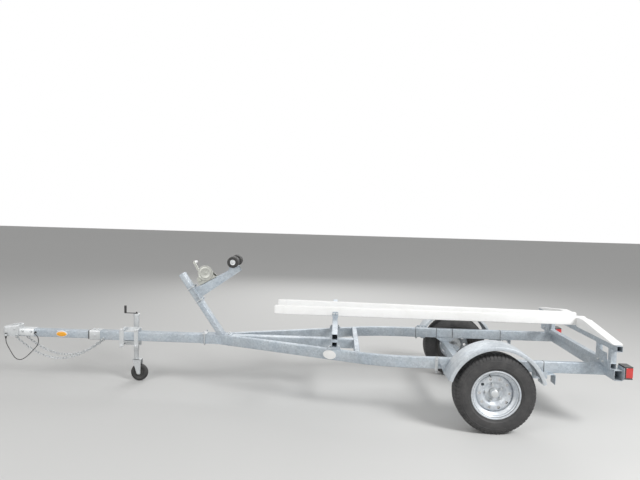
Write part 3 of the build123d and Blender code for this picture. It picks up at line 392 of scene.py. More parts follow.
def nut(bm, point, axis, size=0.018, height=0.010, stud=0.010, proud=0.006, washer=True):
    """A chamfered hexagon nut on its washer, with the end of its bolt standing proud."""
    place = frame_at(point, axis)
    base = 0.0
    if washer:
        lathe(bm, [(0, 0), (size * 0.68, 0), (size * 0.72, 0.0006), (size * 0.72, 0.002),
                   (size * 0.66, 0.0025), (0, 0.0025)], place, 24)
        base = 0.0025
    r = size / 2 / cos(pi / 6)
    lathe(bm, [(0, base), (r * 0.94, base), (r, base + height * 0.12), (r, base + height * 0.84),
               (r * 0.88, base + height), (0, base + height)], place, 6)
    if proud > 0:
        bolt = stud / 2
        thread = []
        pitch = 0.0016
        steps = max(2, int(proud / pitch))
        for k in range(steps):
            z = base + height + proud * k / steps
            thread += [(bolt, z), (bolt * 0.9, z + proud / steps * 0.5)]
        lathe(bm, [(0, base + height)] + thread
              + [(bolt * 0.8, base + height + proud), (0, base + height + proud)], place, 12)


bm = bmesh.new()
tube(bm, [at(COLLAR_ENDS[0], 0, FRAME_MID), at(COLLAR_ENDS[1], 0, FRAME_MID)], ACROSS, COLLAR_W, COLLAR_W,
     (COLLAR_W - NECK) / 2 - 0.0005, 0.010)
bright_zinc = zinc_finish("bright_zinc", (0.74, 0.76, 0.77, 1), (0.50, 0.52, 0.53, 1), 160, 0.3, 0.7,
                          dust=0.15)
add_piece("tongue_collar_rounded", bm, bright_zinc, "chassis", "bright_zinc", "tongue_collar")
bm = bmesh.new()
tube(bm, [at(NECK_ENDS[0], 0, FRAME_MID), at(NECK_ENDS[1], 0, FRAME_MID)], ACROSS, NECK, NECK, NECK_WALL)
add_piece("tongue_front_tube_rounded", bm, galvanised, "chassis", "galvanised", "tongue_front_tube")

bm = bmesh.new()
for x in (COLLAR_ENDS[0] + COLLAR_BOLT_IN, COLLAR_ENDS[1] - COLLAR_BOLT_IN):
    nut(bm, at(x, 0, FRAME_MID + COLLAR_W / 2), UP, 0.017, 0.009, 0.010, 0.004)
for side in (-1, 1):
    nut(bm, at((COLLAR_ENDS[0] + COLLAR_ENDS[1]) / 2, side * COLLAR_W / 2, FRAME_MID), ACROSS * side)
add_piece("collar_bolts", bm, bright_zinc, "chassis", "bright_zinc")

# Side rails: one rectangular tube a side, welded to the tongue in a vee and bent parallel to it.
# The whole frame is dipped in zinc after it is welded.
RAIL_W = 0.050
RAIL_H = 0.100
RAIL_WALL = 0.004
RAIL_Y = 0.575
RAIL_REAR = 1.020
VEE_START = -2.470
BEND_X = -0.950
BEND_R = 1.500
SIDES = (("near", -1), ("far", 1))
RAIL_TOP = FRAME_MID + RAIL_H / 2


def rail_path(side):
    """Points along one rail's centre line, from the tongue to its rear end."""
    start = Vector((VEE_START, TONGUE / 2))
    corner = Vector((BEND_X, RAIL_Y))
    angle = atan2(corner.y - start.y, corner.x - start.x)
    reach = BEND_R * tan(angle / 2)
    ahead = Vector((cos(angle), sin(angle)))
    first = corner - ahead * reach
    centre = first + Vector((ahead.y, -ahead.x)) * BEND_R
    points = [start - ahead * 0.15, start + ahead * 0.4, first]
    steps = 14
    for k in range(1, steps + 1):
        turn = angle * (1 - k / steps)
        points.append(centre + Vector((-sin(turn), cos(turn))) * BEND_R)
    points.append(Vector((RAIL_REAR, RAIL_Y)))
    return [at(p.x, side * p.y, FRAME_MID) for p in points]


def weld(bm, points, size=0.004):
    """A rippled weld bead along straight runs."""
    path = []
    for start, end in zip(points, points[1:]):
        steps = max(2, int((end - start).length / 0.0035))
        path += [start.lerp(end, k / steps) for k in range(steps)]
    path.append(points[-1])
    side = (path[1] - path[0]).orthogonal()
    rings = []
    for number, point in enumerate(path):
        ahead = (path[min(number + 1, len(path) - 1)] - path[max(number - 1, 0)]).normalized()
        side = (side - ahead * side.dot(ahead)).normalized()
        up = ahead.cross(side)
        thick = size * (0.85 + 0.22 * (number % 2) + 0.25 * noise.noise(point * 90))
        rings.append([point + (side * cos(2 * pi * k / 6) + up * sin(2 * pi * k / 6)) * thick
                      for k in range(6)])
    skin(bm, rings)


for name, side in SIDES:
    bm = bmesh.new()
    tongue_side = (at(0, side * TONGUE / 2, 0), Vector((0, 1, 0)))
    tube(bm, rail_path(side), ACROSS, RAIL_W, RAIL_H, RAIL_WALL, cuts=(tongue_side, None))
    add_piece(f"side_rail_{name}_rounded", bm, galvanised, "chassis", "galvanised", f"side_rail_{name}")
    bm = bmesh.new()
    nose = TONGUE / 2 + 0.002
    for z in (FRAME_MID - TONGUE / 2, FRAME_MID + TONGUE / 2):
        weld(bm, [at(VEE_START - 0.020, side * nose, z), at(VEE_START + 0.075, side * nose, z)])
    weld(bm, [at(VEE_START - 0.021, side * nose, FRAME_MID - TONGUE / 2),
              at(VEE_START - 0.021, side * nose, RAIL_TOP - 0.006)])
    for z in (FRAME_MID - 0.048, FRAME_MID + 0.038):
        weld(bm, [at(RAIL_REAR - 0.001, side * (RAIL_Y - 0.023), z),
                  at(RAIL_REAR - 0.001, side * (RAIL_Y + 0.023), z)], 0.003)
    weld(bm, [at(RAIL_REAR - 0.001, side * (RAIL_Y + RAIL_W / 2), FRAME_MID - 0.046),
              at(RAIL_REAR - 0.001, side * (RAIL_Y + RAIL_W / 2), FRAME_MID + 0.036)], 0.003)
    add_piece(f"side_rail_{name}_welds", bm, galvanised, "chassis", "galvanised")

# Cross members: a front one between the rails at the tongue's rear end, and a wider one across both
# rails' ends that carries the lamps. They are welded in and dipped with the frame.
CROSS_W = 0.050
CROSS_FRONT_X = -1.160
CROSS_REAR_X = 1.058
CROSS_REAR_W = 0.076
CROSS_REAR_H = 0.090
CROSS_REAR_Z = 0.519
CROSS_REACH = 0.755

vee_slope = (RAIL_Y - TONGUE / 2) / (BEND_X - VEE_START)
cross_half = TONGUE / 2 + vee_slope * (CROSS_FRONT_X - VEE_START) - RAIL_W / 2 * hypot(1, vee_slope) + 0.002
cross_ends = [(at(CROSS_FRONT_X, side * cross_half, 0), Vector((-vee_slope, side, 0))) for side in (-1, 1)]
bm = bmesh.new()
tube(bm, [at(CROSS_FRONT_X, -cross_half, FRAME_MID), at(CROSS_FRONT_X, cross_half, FRAME_MID)], ALONG,
     CROSS_W, RAIL_H - 0.001, RAIL_WALL, cuts=cross_ends)
for side in (-1, 1):
    for x in (-CROSS_W / 2, CROSS_W / 2):
        y = side * (cross_half + vee_slope * x - 0.002)
        weld(bm, [at(CROSS_FRONT_X + x, y, FRAME_MID - 0.045), at(CROSS_FRONT_X + x, y, FRAME_MID + 0.045)],
             0.0035)
add_piece("crossmember_front_rounded", bm, galvanised, "chassis", "galvanised", "crossmember_front")
bm = bmesh.new()
tube(bm, [at(CROSS_REAR_X, -CROSS_REACH, CROSS_REAR_Z), at(CROSS_REAR_X, CROSS_REACH, CROSS_REAR_Z)], ALONG,
     CROSS_REAR_W, CROSS_REAR_H, RAIL_WALL)
add_piece("crossmember_rear_rounded", bm, galvanised, "chassis", "galvanised", "crossmember_rear")

# Axle: a square torsion beam under the rails, forged trailing arms on its ends, and folded brackets
# that bolt it up to the rails. All of it is galvanised.
BEAM_X = -0.142
BEAM_Z = 0.394
BEAM_HALF = 0.600
BEAM_W = 0.076
ARM_IN_Y = 0.600
ARM_OUT_Y = 0.620
ARM_ROOT_R = 0.030
ARM_TIP_R = 0.026
SPINDLE_R = 0.0168
SPINDLE_END = 0.790
AXLE_FOOT_TOP = 0.110
AXLE_FOOT_LOW = 0.048
FRAME_BOTTOM = 0.474
AXLE_CHEEKS_Y = (0.550, 0.594)
AXLE_CHEEK_T = 0.006
AXLE_SHELF_Y = 0.575
AXLE_BOLT_X = 0.052
AXLE_BOLT_Z = 0.458


def round_corners(points, radius, steps=4):
    """An outline whose corners are rounded as far as their sides allow."""
    made = []
    for number, corner in enumerate(points):
        corner = Vector(corner)
        before = Vector(points[number - 1]) - corner
        after = Vector(points[(number + 1) % len(points)]) - corner
        reach = min(radius, before.length * 0.45, after.length * 0.45)
        start, end = corner + before.normalized() * reach, corner + after.normalized() * reach
        for k in range(steps + 1):
            t = k / steps
            made.append(start * (1 - t) ** 2 + corner * 2 * t * (1 - t) + end * t ** 2)
    return made


def inset(outline, depth):
    """An outline moved inwards by a depth, whichever way round it runs."""
    turned = sum(a[0] * b[1] - b[0] * a[1] for a, b in zip(outline, outline[1:] + outline[:1]))
    depth = depth if turned > 0 else -depth
    made = []
    for number, corner in enumerate(outline):
        corner = Vector(corner)
        into = (corner - Vector(outline[number - 1])).normalized()
        out = (Vector(outline[(number + 1) % len(outline)]) - corner).normalized()
        normal = Vector((-into.y - out.y, into.x + out.x))
        length = max(normal.length, 1e-6)
        made.append(corner + normal / length * min(depth / max(length / 2, 0.35), 3 * depth, key=abs))
    return made


def plate(bm, outline, place, thick, edge=0.0008):
    """A flat plate with broken edges: its outline in the first two axes of a placed frame, its thickness up
    the third."""
    rings = []
    for depth, height in ((edge, 0), (0, edge), (0, thick - edge), (edge, thick)):
        loop = inset(outline, depth) if depth else [Vector(p) for p in outline]
        rings.append([place @ Vector((p.x, p.y, height)) for p in loop])
    skin(bm, rings)


def rectangle(half_run, half_rise):
    """The four corners of a rectangle about a point."""
    return [(-half_run, -half_rise), (half_run, -half_rise), (half_run, half_rise), (-half_run, half_rise)]


def around(first, first_r, second, second_r, steps=14):
    """The outline of two circles joined by their tangents, as points."""
    first, second = Vector(first), Vector(second)
    run = second - first
    lean = atan2(run.y, run.x)
    spread = pi / 2 + atan2(second_r - first_r, run.length)
    points = [second + Vector((cos(lean + t), sin(lean + t))) * second_r
              for t in (spread * (2 * k / steps - 1) for k in range(steps + 1))]
    points += [first + Vector((cos(lean + t), sin(lean + t))) * first_r
               for t in (spread + (2 * pi - 2 * spread) * k / steps for k in range(steps + 1))]
    return points


bm = bmesh.new()
tube(bm, [at(BEAM_X, -BEAM_HALF, BEAM_Z), at(BEAM_X, BEAM_HALF, BEAM_Z)], ALONG, BEAM_W, BEAM_W, 0.005, 0.008)
add_piece("axle_beam_rounded", bm, galvanised, "chassis", "galvanised", "axle_beam")
arms, brackets, nuts = bmesh.new(), bmesh.new(), bmesh.new()
for side in (-1, 1):
    outside = frame_at(at(0, side * ARM_OUT_Y, 0), ACROSS * side, ALONG)
    rise = -side
    arm_edge = around((BEAM_X, rise * BEAM_Z), ARM_ROOT_R, (0, rise * HUB_Z), ARM_TIP_R)
    plate(arms, arm_edge, outside @ Matrix.Translation((0, 0, ARM_IN_Y - ARM_OUT_Y)), ARM_OUT_Y - ARM_IN_Y,
          0.003)
    lathe(arms, [(0, 0), (0.024, 0), (0.023, 0.006), (SPINDLE_R, 0.008),
                 (SPINDLE_R, SPINDLE_END - ARM_OUT_Y - 0.002), (SPINDLE_R - 0.002, SPINDLE_END - ARM_OUT_Y),
                 (0, SPINDLE_END - ARM_OUT_Y)], frame_at(at(0, side * ARM_OUT_Y, HUB_Z), ACROSS * side), 28)
    beam_top = BEAM_Z + BEAM_W / 2
    foot_top = rise * (FRAME_BOTTOM - 0.001)
    foot = [(-AXLE_FOOT_LOW, rise * beam_top), (AXLE_FOOT_LOW, rise * beam_top), (AXLE_FOOT_TOP, foot_top),
            (-AXLE_FOOT_TOP, foot_top)]
    for y in AXLE_CHEEKS_Y:
        face = frame_at(at(BEAM_X, side * y, 0), ACROSS * side, ALONG)
        plate(brackets, round_corners(foot, 0.006), face, AXLE_CHEEK_T)
    for z, half in ((beam_top, AXLE_FOOT_LOW), (FRAME_BOTTOM - 0.0065, AXLE_FOOT_TOP - 0.012)):
        shelf = frame_at(at(BEAM_X, side * AXLE_SHELF_Y, z), UP, ALONG)
        plate(brackets, rectangle(half, 0.020), shelf, AXLE_CHEEK_T)
    for x in (-AXLE_BOLT_X, AXLE_BOLT_X):
        nut(nuts, at(BEAM_X + x, side * (AXLE_CHEEKS_Y[1] + AXLE_CHEEK_T), AXLE_BOLT_Z), ACROSS * side, 0.019,
            0.010, 0.012, 0.006)
add_piece("axle_arms_forged", arms, galvanised, "chassis", "galvanised", "axle_arms")
add_piece("axle_brackets_folded", brackets, galvanised, "chassis", "galvanised", "axle_brackets")
add_piece("axle_bracket_bolts", nuts, bright_zinc, "chassis", "bright_zinc")

# Rims: a rolled steel barrel with a pressed disc welded in it, ten round hand holes and five nuts,
# galvanised all over. They turn with their hubs.
WHEEL_Y = 0.772
HAND_HOLES = 10
HAND_HOLE_R = 0.0135
HAND_HOLE_PCR = 0.128
NUTS = 5
NUT_PCR = 0.0698
RIM_STEPS = 96
DISC_PROFILE = [(0.0465, 0.012), (0.060, 0.012), (0.080, 0.0125), (0.086, 0.015), (0.098, 0.0300),
                (0.104, 0.0345), (0.112, 0.0365), (0.128, 0.0372), (0.144, 0.0355), (0.152, 0.031),
                (0.158, 0.022), (0.1635, 0.016)]
DISC_T = 0.005
BARREL = [(0.2085, 0.0800), (0.2090, 0.0830), (0.2070, 0.0855), (0.2035, 0.0865), (0.2000, 0.0850),
          (0.1985, 0.0810), (0.1965, 0.0760), (0.1900, 0.0725), (0.1875, 0.0700), (0.1865, 0.0580),
          (0.1850, 0.0540), (0.1680, 0.0440), (0.1645, 0.0400), (0.1640, 0.0000), (0.1645, -0.0140),
          (0.1850, -0.0540), (0.1865, -0.0600), (0.1880, -0.0720), (0.1975, -0.0770), (0.1990, -0.0820),
          (0.2035, -0.0862), (0.2080, -0.0845), (0.2085, -0.0800)]
BARREL_T = 0.0032


def rim_finish(name):
    """The rims' zinc, with painted shade, near black and not metallic, on the side that faces the axle."""
    finish = zinc_finish(name, (0.72, 0.75, 0.77, 1), (0.44, 0.48, 0.53, 1), 55, 0.45, 0.35, dust=0.15)
    tree = finish.node_tree
    shader = tree.nodes["Principled BSDF"]
    unshaded_zinc = shader.inputs["Base Color"].links[0].from_socket
    place = add_node(tree, "ShaderNodeTexCoord")
    parts = add_node(tree, "ShaderNodeSeparateXYZ")
    tree.links.new(place.outputs["Object"], parts.inputs[0])
    across = add_node(tree, "ShaderNodeMath", operation="ABSOLUTE")
    tree.links.new(parts.outputs[1], across.inputs[0])
    inside = add_node(tree, "ShaderNodeMapRange", {"From Min": WHEEL_Y + 0.012, "From Max": WHEEL_Y - 0.010})
    tree.links.new(across.outputs[0], inside.inputs["Value"])
    # Painted shade: the inboard side turns near black and loses its metal, so the hand holes look dark.
    inboard_painted_shade = add_node(tree, "ShaderNodeMix", {"B": (0.035, 0.032, 0.03, 1)}, data_type="RGBA")
    tree.links.new(inside.outputs[0], inboard_painted_shade.inputs["Factor"])
    tree.links.new(unshaded_zinc, inboard_painted_shade.inputs["A"])
    tree.links.new(inboard_painted_shade.outputs["Result"], shader.inputs["Base Color"])
    metal = add_node(tree, "ShaderNodeMapRange", {"To Min": 0.35, "To Max": 0.0})
    tree.links.new(inside.outputs[0], metal.inputs["Value"])
    tree.links.new(metal.outputs[0], shader.inputs["Metallic"])
    return finish


rim_zinc = rim_finish("rim_zinc")


def thick_loop(line, thickness):
    """A closed outline of a sheet of some thickness whose outer face runs along a line of 2-D points."""
    inner = []
    for number, (a, b) in enumerate(line):
        before = line[max(number - 1, 0)]
        after = line[min(number + 1, len(line) - 1)]
        run, rise = after[0] - before[0], after[1] - before[1]
        length = hypot(run, rise)
        inner.append((a + rise / length * thickness, b - run / length * thickness))
    return list(line) + inner[::-1]


def ring_of(bm, outline, place, segments):
    """A closed ring turned about the third axis of a placed frame from a closed (radius, height) outline."""
    rings = []
    for k in range(segments):
        turn = 2 * pi * k / segments
        rings.append([place @ Vector((r * cos(turn), r * sin(turn), h)) for r, h in outline])
    skin(bm, rings, closed_path=True)


def cut_away(piece, cutter):
    """Takes a cutter's volume out of a piece and deletes the cutter."""
    modifier = piece.modifiers.new("cut", "BOOLEAN")
    modifier.operation = "DIFFERENCE"
    modifier.solver = "EXACT"
    modifier.object = cutter
    bpy.context.view_layer.update()
    shaped = bpy.data.meshes.new_from_object(piece.evaluated_get(bpy.context.evaluated_depsgraph_get()))
    piece.modifiers.remove(modifier)
    piece.data = shaped
    bpy.data.objects.remove(cutter)


def loose_shape(name, bm):
    """An object for a cutter, which is deleted after its cut."""
    mesh = bpy.data.meshes.new(name)
    bmesh.ops.recalc_face_normals(bm, faces=bm.faces)
    bm.to_mesh(mesh)
    bm.free()
    shape = bpy.data.objects.new(name, mesh)
    bpy.context.scene.collection.objects.link(shape)
    return shape


for name, side in SIDES:
    hub_centre = at(0, side * WHEEL_Y, HUB_Z)
    place = frame_at(hub_centre, ACROSS * side)
    bm = bmesh.new()
    ring_of(bm, thick_loop(BARREL, BARREL_T), place, RIM_STEPS)
    ring_of(bm, thick_loop(DISC_PROFILE, DISC_T), place, RIM_STEPS)
    rim = add_piece(f"rim_{name}_pressed", bm, rim_zinc, f"wheel_{name}", "galvanised", f"rim_{name}")
    bm = bmesh.new()
    for k in range(HAND_HOLES):
        turn = 2 * pi * (k + 0.5) / HAND_HOLES
        hole = place @ Matrix.Translation((HAND_HOLE_PCR * cos(turn), HAND_HOLE_PCR * sin(turn), 0.010))
        lathe(bm, [(0, 0), (HAND_HOLE_R, 0), (HAND_HOLE_R, 0.050), (0, 0.050)], hole, 24)
    cut_away(rim, loose_shape("hand_holes", bm))
    rim.data.set_sharp_from_angle(angle=radians(35))
    bm = bmesh.new()
    for k in range(NUTS):
        turn = 2 * pi * (k + 0.2) / NUTS
        spot = place @ Vector((NUT_PCR * cos(turn), NUT_PCR * sin(turn), 0.0125))
        nut_place = frame_at(spot, ACROSS * side)
        lathe(bm, [(0, 0), (0.0085, 0), (0.0125, 0.004), (0.0135, 0.0045), (0.0137, 0.007), (0.0125, 0.008)],
              nut_place, 24)
        lathe(bm, [(0, 0.004), (0.0118, 0.004), (0.0118, 0.0155), (0.0102, 0.0185), (0.0075, 0.0190),
                   (0.0070, 0.0170), (0, 0.0170)], nut_place, 6)
        lathe(bm, [(0, 0.015), (0.0060, 0.015), (0.0060, 0.0205), (0.0052, 0.0215), (0, 0.0215)], nut_place,
              16)
    add_piece(f"wheel_nuts_{name}", bm, bright_zinc, f"wheel_{name}", "bright_zinc")

# Hubs: cast bodies on the spindles, machined at the flange, with a pressed grease cap that shows in
# the middle of the rim. They turn on the axle with rims and tyres.
HUB_CAP_R = 0.0345
HUB_BACK = 0.090
HUB_BORE_R = 0.0172
HUB_END = 0.060

for name, side in SIDES:
    place = frame_at(at(0, side * WHEEL_Y, HUB_Z), ACROSS * side)
    bm = bmesh.new()
    ring_of(bm, [(HUB_BORE_R, -HUB_BACK), (0.0330, -HUB_BACK), (0.0340, -HUB_BACK + 0.002), (0.0340, -0.030),
                 (0.0380, -0.012), (0.0440, -0.0045), (0.0830, -0.0035), (0.0840, -0.0025), (0.0840, 0.0048),
                 (0.0832, 0.0056), (0.0460, 0.0056), (0.0455, 0.0030), (0.0375, 0.0030), (0.0370, 0.0250),
                 (HUB_CAP_R + 0.0012, 0.0270), (HUB_CAP_R, 0.0280), (HUB_CAP_R, 0.0500),
                 (HUB_CAP_R - 0.0015, 0.0545), (0.0300, 0.0575), (0.0240, 0.0590), (0.0220, 0.0585),
                 (HUB_BORE_R, 0.0585)], place, 48)
    lathe(bm, [(0, HUB_END), (0.0140, HUB_END), (0.0200, HUB_END - 0.0008), (0.0225, HUB_END - 0.0022),
               (0.0225, 0.0570), (0, 0.0570)], place, 48)
    add_piece(f"hub_{name}_cast", bm, bright_zinc, f"wheel_{name}", "bright_zinc", f"hub_{name}")

# Tyres: radial trailer tyres with four grooves round the tread, notched shoulders, and dusty
# sidewalls with raised rings. No lettering is moulded on them.
TYRE_R = 0.344
TREAD_PITCHES = 64
TREAD_GROOVE = 0.0085
TREAD_SIDE = [(0.1905, 0.0700), (0.1920, 0.0775), (0.1975, 0.0815), (0.2050, 0.0835), (0.2120, 0.0832),
              (0.2150, 0.0862), (0.2170, 0.0905), (0.2200, 0.0925), (0.2225, 0.0925), (0.2245, 0.0945),
              (0.2340, 0.0985), (0.2360, 0.1002), (0.2375, 0.1002), (0.2390, 0.0992), (0.2500, 0.1012),
              (0.2640, 0.1018), (0.2780, 0.1010), (0.2880, 0.0994), (0.2895, 0.1006), (0.2915, 0.1006),
              (0.2930, 0.0984), (0.3030, 0.0955), (0.3045, 0.0963), (0.3065, 0.0958), (0.3080, 0.0936)]
TREAD_SHOULDER = [(0.3160, 0.0910), (0.3240, 0.0880), (0.3310, 0.0838), (0.3365, 0.0788), (0.3395, 0.0735),
                  (0.3410, 0.0680), (0.3417, 0.0610)]
GROOVES = (0.0490, 0.0170)
GROOVE_W = 0.0088
VALVE_TURN = 18
VALVE_R = 0.172
VALVE_IN = 0.0460


def rubber_finish(name, light, dark, dust_colour, dust, roughness, scale=30.0):
    """Weathered black rubber with dust in soft patches."""
    finish, tree, shader = new_finish(name, roughness=roughness)
    link = tree.links.new
    cloudy = add_node(tree, "ShaderNodeTexNoise", {"Scale": scale, "Detail": 6.0, "Roughness": 0.7})
    place = add_node(tree, "ShaderNodeTexCoord")
    link(place.outputs["Object"], cloudy.inputs["Vector"])
    shade = add_node(tree, "ShaderNodeMix", {"A": dark, "B": light}, data_type="RGBA")
    link(cloudy.outputs["Fac"], shade.inputs["Factor"])
    dusty = add_node(tree, "ShaderNodeGroup", node_tree=road_dust)
    dusty.inputs["Amount"].default_value = dust
    dusty.inputs["Patch"].default_value = 14.0
    mix = add_node(tree, "ShaderNodeMix", {"B": dust_colour}, data_type="RGBA")
    link(shade.outputs["Result"], mix.inputs["A"])
    link(dusty.outputs["Mask"], mix.inputs["Factor"])
    link(mix.outputs["Result"], shader.inputs["Base Color"])
    fine = add_node(tree, "ShaderNodeTexNoise", {"Scale": 600.0, "Detail": 3.0})
    link(place.outputs["Object"], fine.inputs["Vector"])
    raised = add_node(tree, "ShaderNodeBump", {"Strength": 0.3, "Distance": 0.0004})
    link(fine.outputs["Fac"], raised.inputs["Height"])
    link(raised.outputs["Normal"], shader.inputs["Normal"])
    return finish


tyre_rubber = rubber_finish("tyre_rubber", (0.046, 0.045, 0.046, 1), (0.024, 0.024, 0.025, 1),
                            (0.13, 0.125, 0.12, 1), 0.35, 0.62, 9.0)

tread_line = [(r, h, 0) for r, h in TREAD_SIDE] + [(r, h, 1) for r, h in TREAD_SHOULDER]
for groove in GROOVES:
    wall = GROOVE_W / 2
    crown = TYRE_R - 0.0024 * (groove / 0.06) ** 2
    tread_line += [(crown, groove + wall, 1 if groove > 0.03 else 2),
                   (crown - TREAD_GROOVE, groove + wall * 0.7, 0),
                   (crown - TREAD_GROOVE, groove - wall * 0.7, 0), (crown, groove - wall, 2)]
    if groove > 0.03:
        tread_line += [(crown, (GROOVES[0] + GROOVES[1]) / 2, 0)]
tyre_outline = tread_line + [(r, -h, mark) for r, h, mark in tread_line[::-1]]
for name, side in SIDES:
    place = frame_at(at(0, side * WHEEL_Y, HUB_Z), ACROSS * side)
    bm = bmesh.new()
    rings = []
    for pitch in range(TREAD_PITCHES):
        for part, notched in ((0.0, False), (0.03, True), (0.19, True), (0.22, False), (0.61, False)):
            turn = 2 * pi * (pitch + part) / TREAD_PITCHES
            ring = []
            for r, h, mark in tyre_outline:
                if notched and mark == 1:
                    r, h = r - 0.0045, h - 0.0018 * (1 if h > 0 else -1)
                elif notched and mark == 2:
                    r = r - 0.0030
                ring.append(place @ Vector((r * cos(turn), r * sin(turn), h)))
            rings.append(ring)
    skin(bm, rings, closed_path=True)
    add_piece(f"tyre_{name}_treaded", bm, tyre_rubber, f"wheel_{name}", "tyre_rubber", f"tyre_{name}",
              sharp=28)
    bm = bmesh.new()
    lean = radians(VALVE_TURN)
    root = place @ Vector((VALVE_R * cos(lean), VALVE_R * sin(lean), VALVE_IN))
    tip = place @ Vector(((VALVE_R - 0.012) * cos(lean), (VALVE_R - 0.012) * sin(lean), VALVE_IN + 0.030))
    lathe(bm, [(0, 0), (0.0080, 0), (0.0065, 0.003), (0.0052, 0.010), (0.0050, 0.018), (0.0040, 0.0185),
               (0.0040, 0.022), (0.0048, 0.0222), (0.0048, 0.0300), (0.0040, 0.0315), (0, 0.0320)],
          frame_at(root, tip - root), 20)
    add_piece(f"valve_{name}", bm, tyre_rubber, f"wheel_{name}", "tyre_rubber")

# Fenders: rolled half hoops of thin galvanised sheet, with a turned-down outer lip and an inner
# flange, held off the rails by brackets at both ends.
FENDER_R = 0.425
FENDER_T = 0.002
FENDER_Y = (0.655, 0.895)
FENDER_END_Z = 0.120
FENDER_STEPS = 90

fender_zinc = zinc_finish("fender_zinc", (0.62, 0.66, 0.69, 1), (0.42, 0.46, 0.50, 1), 45, 0.45, 0.45,
                          dust=0.25)
fender_line = [(FENDER_R - 0.024, FENDER_Y[0]), (FENDER_R - 0.006, FENDER_Y[0]),
               (FENDER_R - 0.0015, FENDER_Y[0] + 0.0015), (FENDER_R, FENDER_Y[0] + 0.006),
               (FENDER_R, FENDER_Y[1] - 0.010), (FENDER_R - 0.003, FENDER_Y[1] - 0.003),
               (FENDER_R - 0.010, FENDER_Y[1]), (FENDER_R - 0.026, FENDER_Y[1]),
               (FENDER_R - 0.032, FENDER_Y[1] - 0.001), (FENDER_R - 0.034, FENDER_Y[1] - 0.005),
               (FENDER_R - 0.031, FENDER_Y[1] - 0.008)]
fender_loop = thick_loop(fender_line, -FENDER_T)
first_turn = atan2(FENDER_END_Z, sqrt(FENDER_R ** 2 - FENDER_END_Z ** 2))
for name, side in SIDES:
    bm = bmesh.new()
    rings = []
    for k in range(FENDER_STEPS + 1):
        turn = first_turn + (pi - 2 * first_turn) * k / FENDER_STEPS
        rings.append([at(r * cos(turn), side * y, HUB_Z + r * sin(turn)) for r, y in fender_loop])
    skin(bm, rings)
    add_piece(f"fender_{name}_rolled", bm, fender_zinc, "chassis", "galvanised", f"fender_{name}")

# Fender brackets: a gusset plate on a ledge in front, and a plate on an upside-down channel under
# the rail behind, bolted through the fender's flange.
STAY_Y = (0.6487, 0.6547)
GUSSET = ((-0.452, 0.584), (-0.330, 0.584), (-0.352, 0.440), (-0.400, 0.440))
GUSSET_BOLTS = ((-0.372, 0.566), (-0.410, 0.566), (-0.380, 0.470))
LEDGE = (-0.400, 0.6244, 0.500)
CHANNEL_X = (0.463, 0.576)
CHANNEL_Z = (0.384, 0.474)
CHANNEL_WALL = 0.004
CHANNEL_IN_Y = 0.550
CHANNEL_BOLT = (0.025, 0.578)
STAY_PLATE = ((0.365, 0.438), (0.500, 0.438), (0.500, 0.498), (0.365, 0.498))
STAY_BOLTS = ((0.390, 0.480), (0.440, 0.455))

brackets, nuts = bmesh.new(), bmesh.new()
for side in (-1, 1):
    for outline, bolts in ((GUSSET, GUSSET_BOLTS), (STAY_PLATE, STAY_BOLTS)):
        face = frame_at(at(0, side * STAY_Y[0], 0), ACROSS * side, ALONG)
        plate(brackets, round_corners([(x, -side * z) for x, z in outline], 0.008), face,
              STAY_Y[1] - STAY_Y[0])
        for x, z in bolts:
            nut(nuts, at(x, side * STAY_Y[0], z), ACROSS * -side, 0.014, 0.008, 0.008, 0.005)
    ledge = frame_at(at(LEDGE[0], side * LEDGE[1], LEDGE[2]), UP, ALONG)
    plate(brackets, rectangle(0.040, 0.0243), ledge, 0.006)
    half = (CHANNEL_X[1] - CHANNEL_X[0]) / 2
    low, high = CHANNEL_Z[0] - CHANNEL_Z[1], 0
    section = [(-half, low), (-half + CHANNEL_WALL, low), (-half + CHANNEL_WALL, high - CHANNEL_WALL),
               (half - CHANNEL_WALL, high - CHANNEL_WALL), (half - CHANNEL_WALL, low), (half, low),
               (half, high - 0.004), (half - 0.004, high), (-half + 0.004, high), (-half, high - 0.004)]
    ends = sorted((side * CHANNEL_IN_Y, side * STAY_Y[0]))
    side_on = frame_at(at(sum(CHANNEL_X) / 2, ends[1], CHANNEL_Z[1]), -ACROSS, ALONG)
    plate(brackets, section, side_on, ends[1] - ends[0])
    for x in (-CHANNEL_BOLT[0], CHANNEL_BOLT[0]):
        nut(nuts, at(sum(CHANNEL_X) / 2 + x, side * CHANNEL_BOLT[1], CHANNEL_Z[1] - CHANNEL_WALL), -UP, 0.016,
            0.009, 0.010, 0.006)
add_piece("fender_brackets_folded", brackets, galvanised, "chassis", "galvanised", "fender_brackets")
add_piece("fender_bracket_bolts", nuts, bright_zinc, "chassis", "bright_zinc")

# Small fittings on the rails: a flat tie hook on each side, thin black bands round the rails in five
# places, each with a small square head, and a blank oval name plate on the near one.
RAIL_BAND_PLACES = ((-1, 0.487), (1, -0.475), (1, -0.245), (1, -0.068), (1, 0.458))
HOOK_X = -0.459
HOOK_Z = (0.449, 0.585)
HOOK_BOLTS_Z = (0.475, 0.560)
OVAL_X = -1.410
OVAL_L = 0.128
OVAL_H = 0.084
ROAD_FILM = (0.2, 0.19, 0.17, 1)


def on_rail(x, z, side):
    """A placed frame on a rail's outer face: up it, forwards or rearwards along it, and out of it."""
    slope = vee_slope if x < BEND_X - BEND_R * 0.2 else 0.0
    middle = TONGUE / 2 + vee_slope * (x - VEE_START) if slope else RAIL_Y
    out = Vector((-slope, 1, 0)).normalized()
    outwards = Vector((out.x, side * out.y, 0))
    return frame_at(at(x, side * middle, z) + outwards * RAIL_W / 2, outwards, UP)


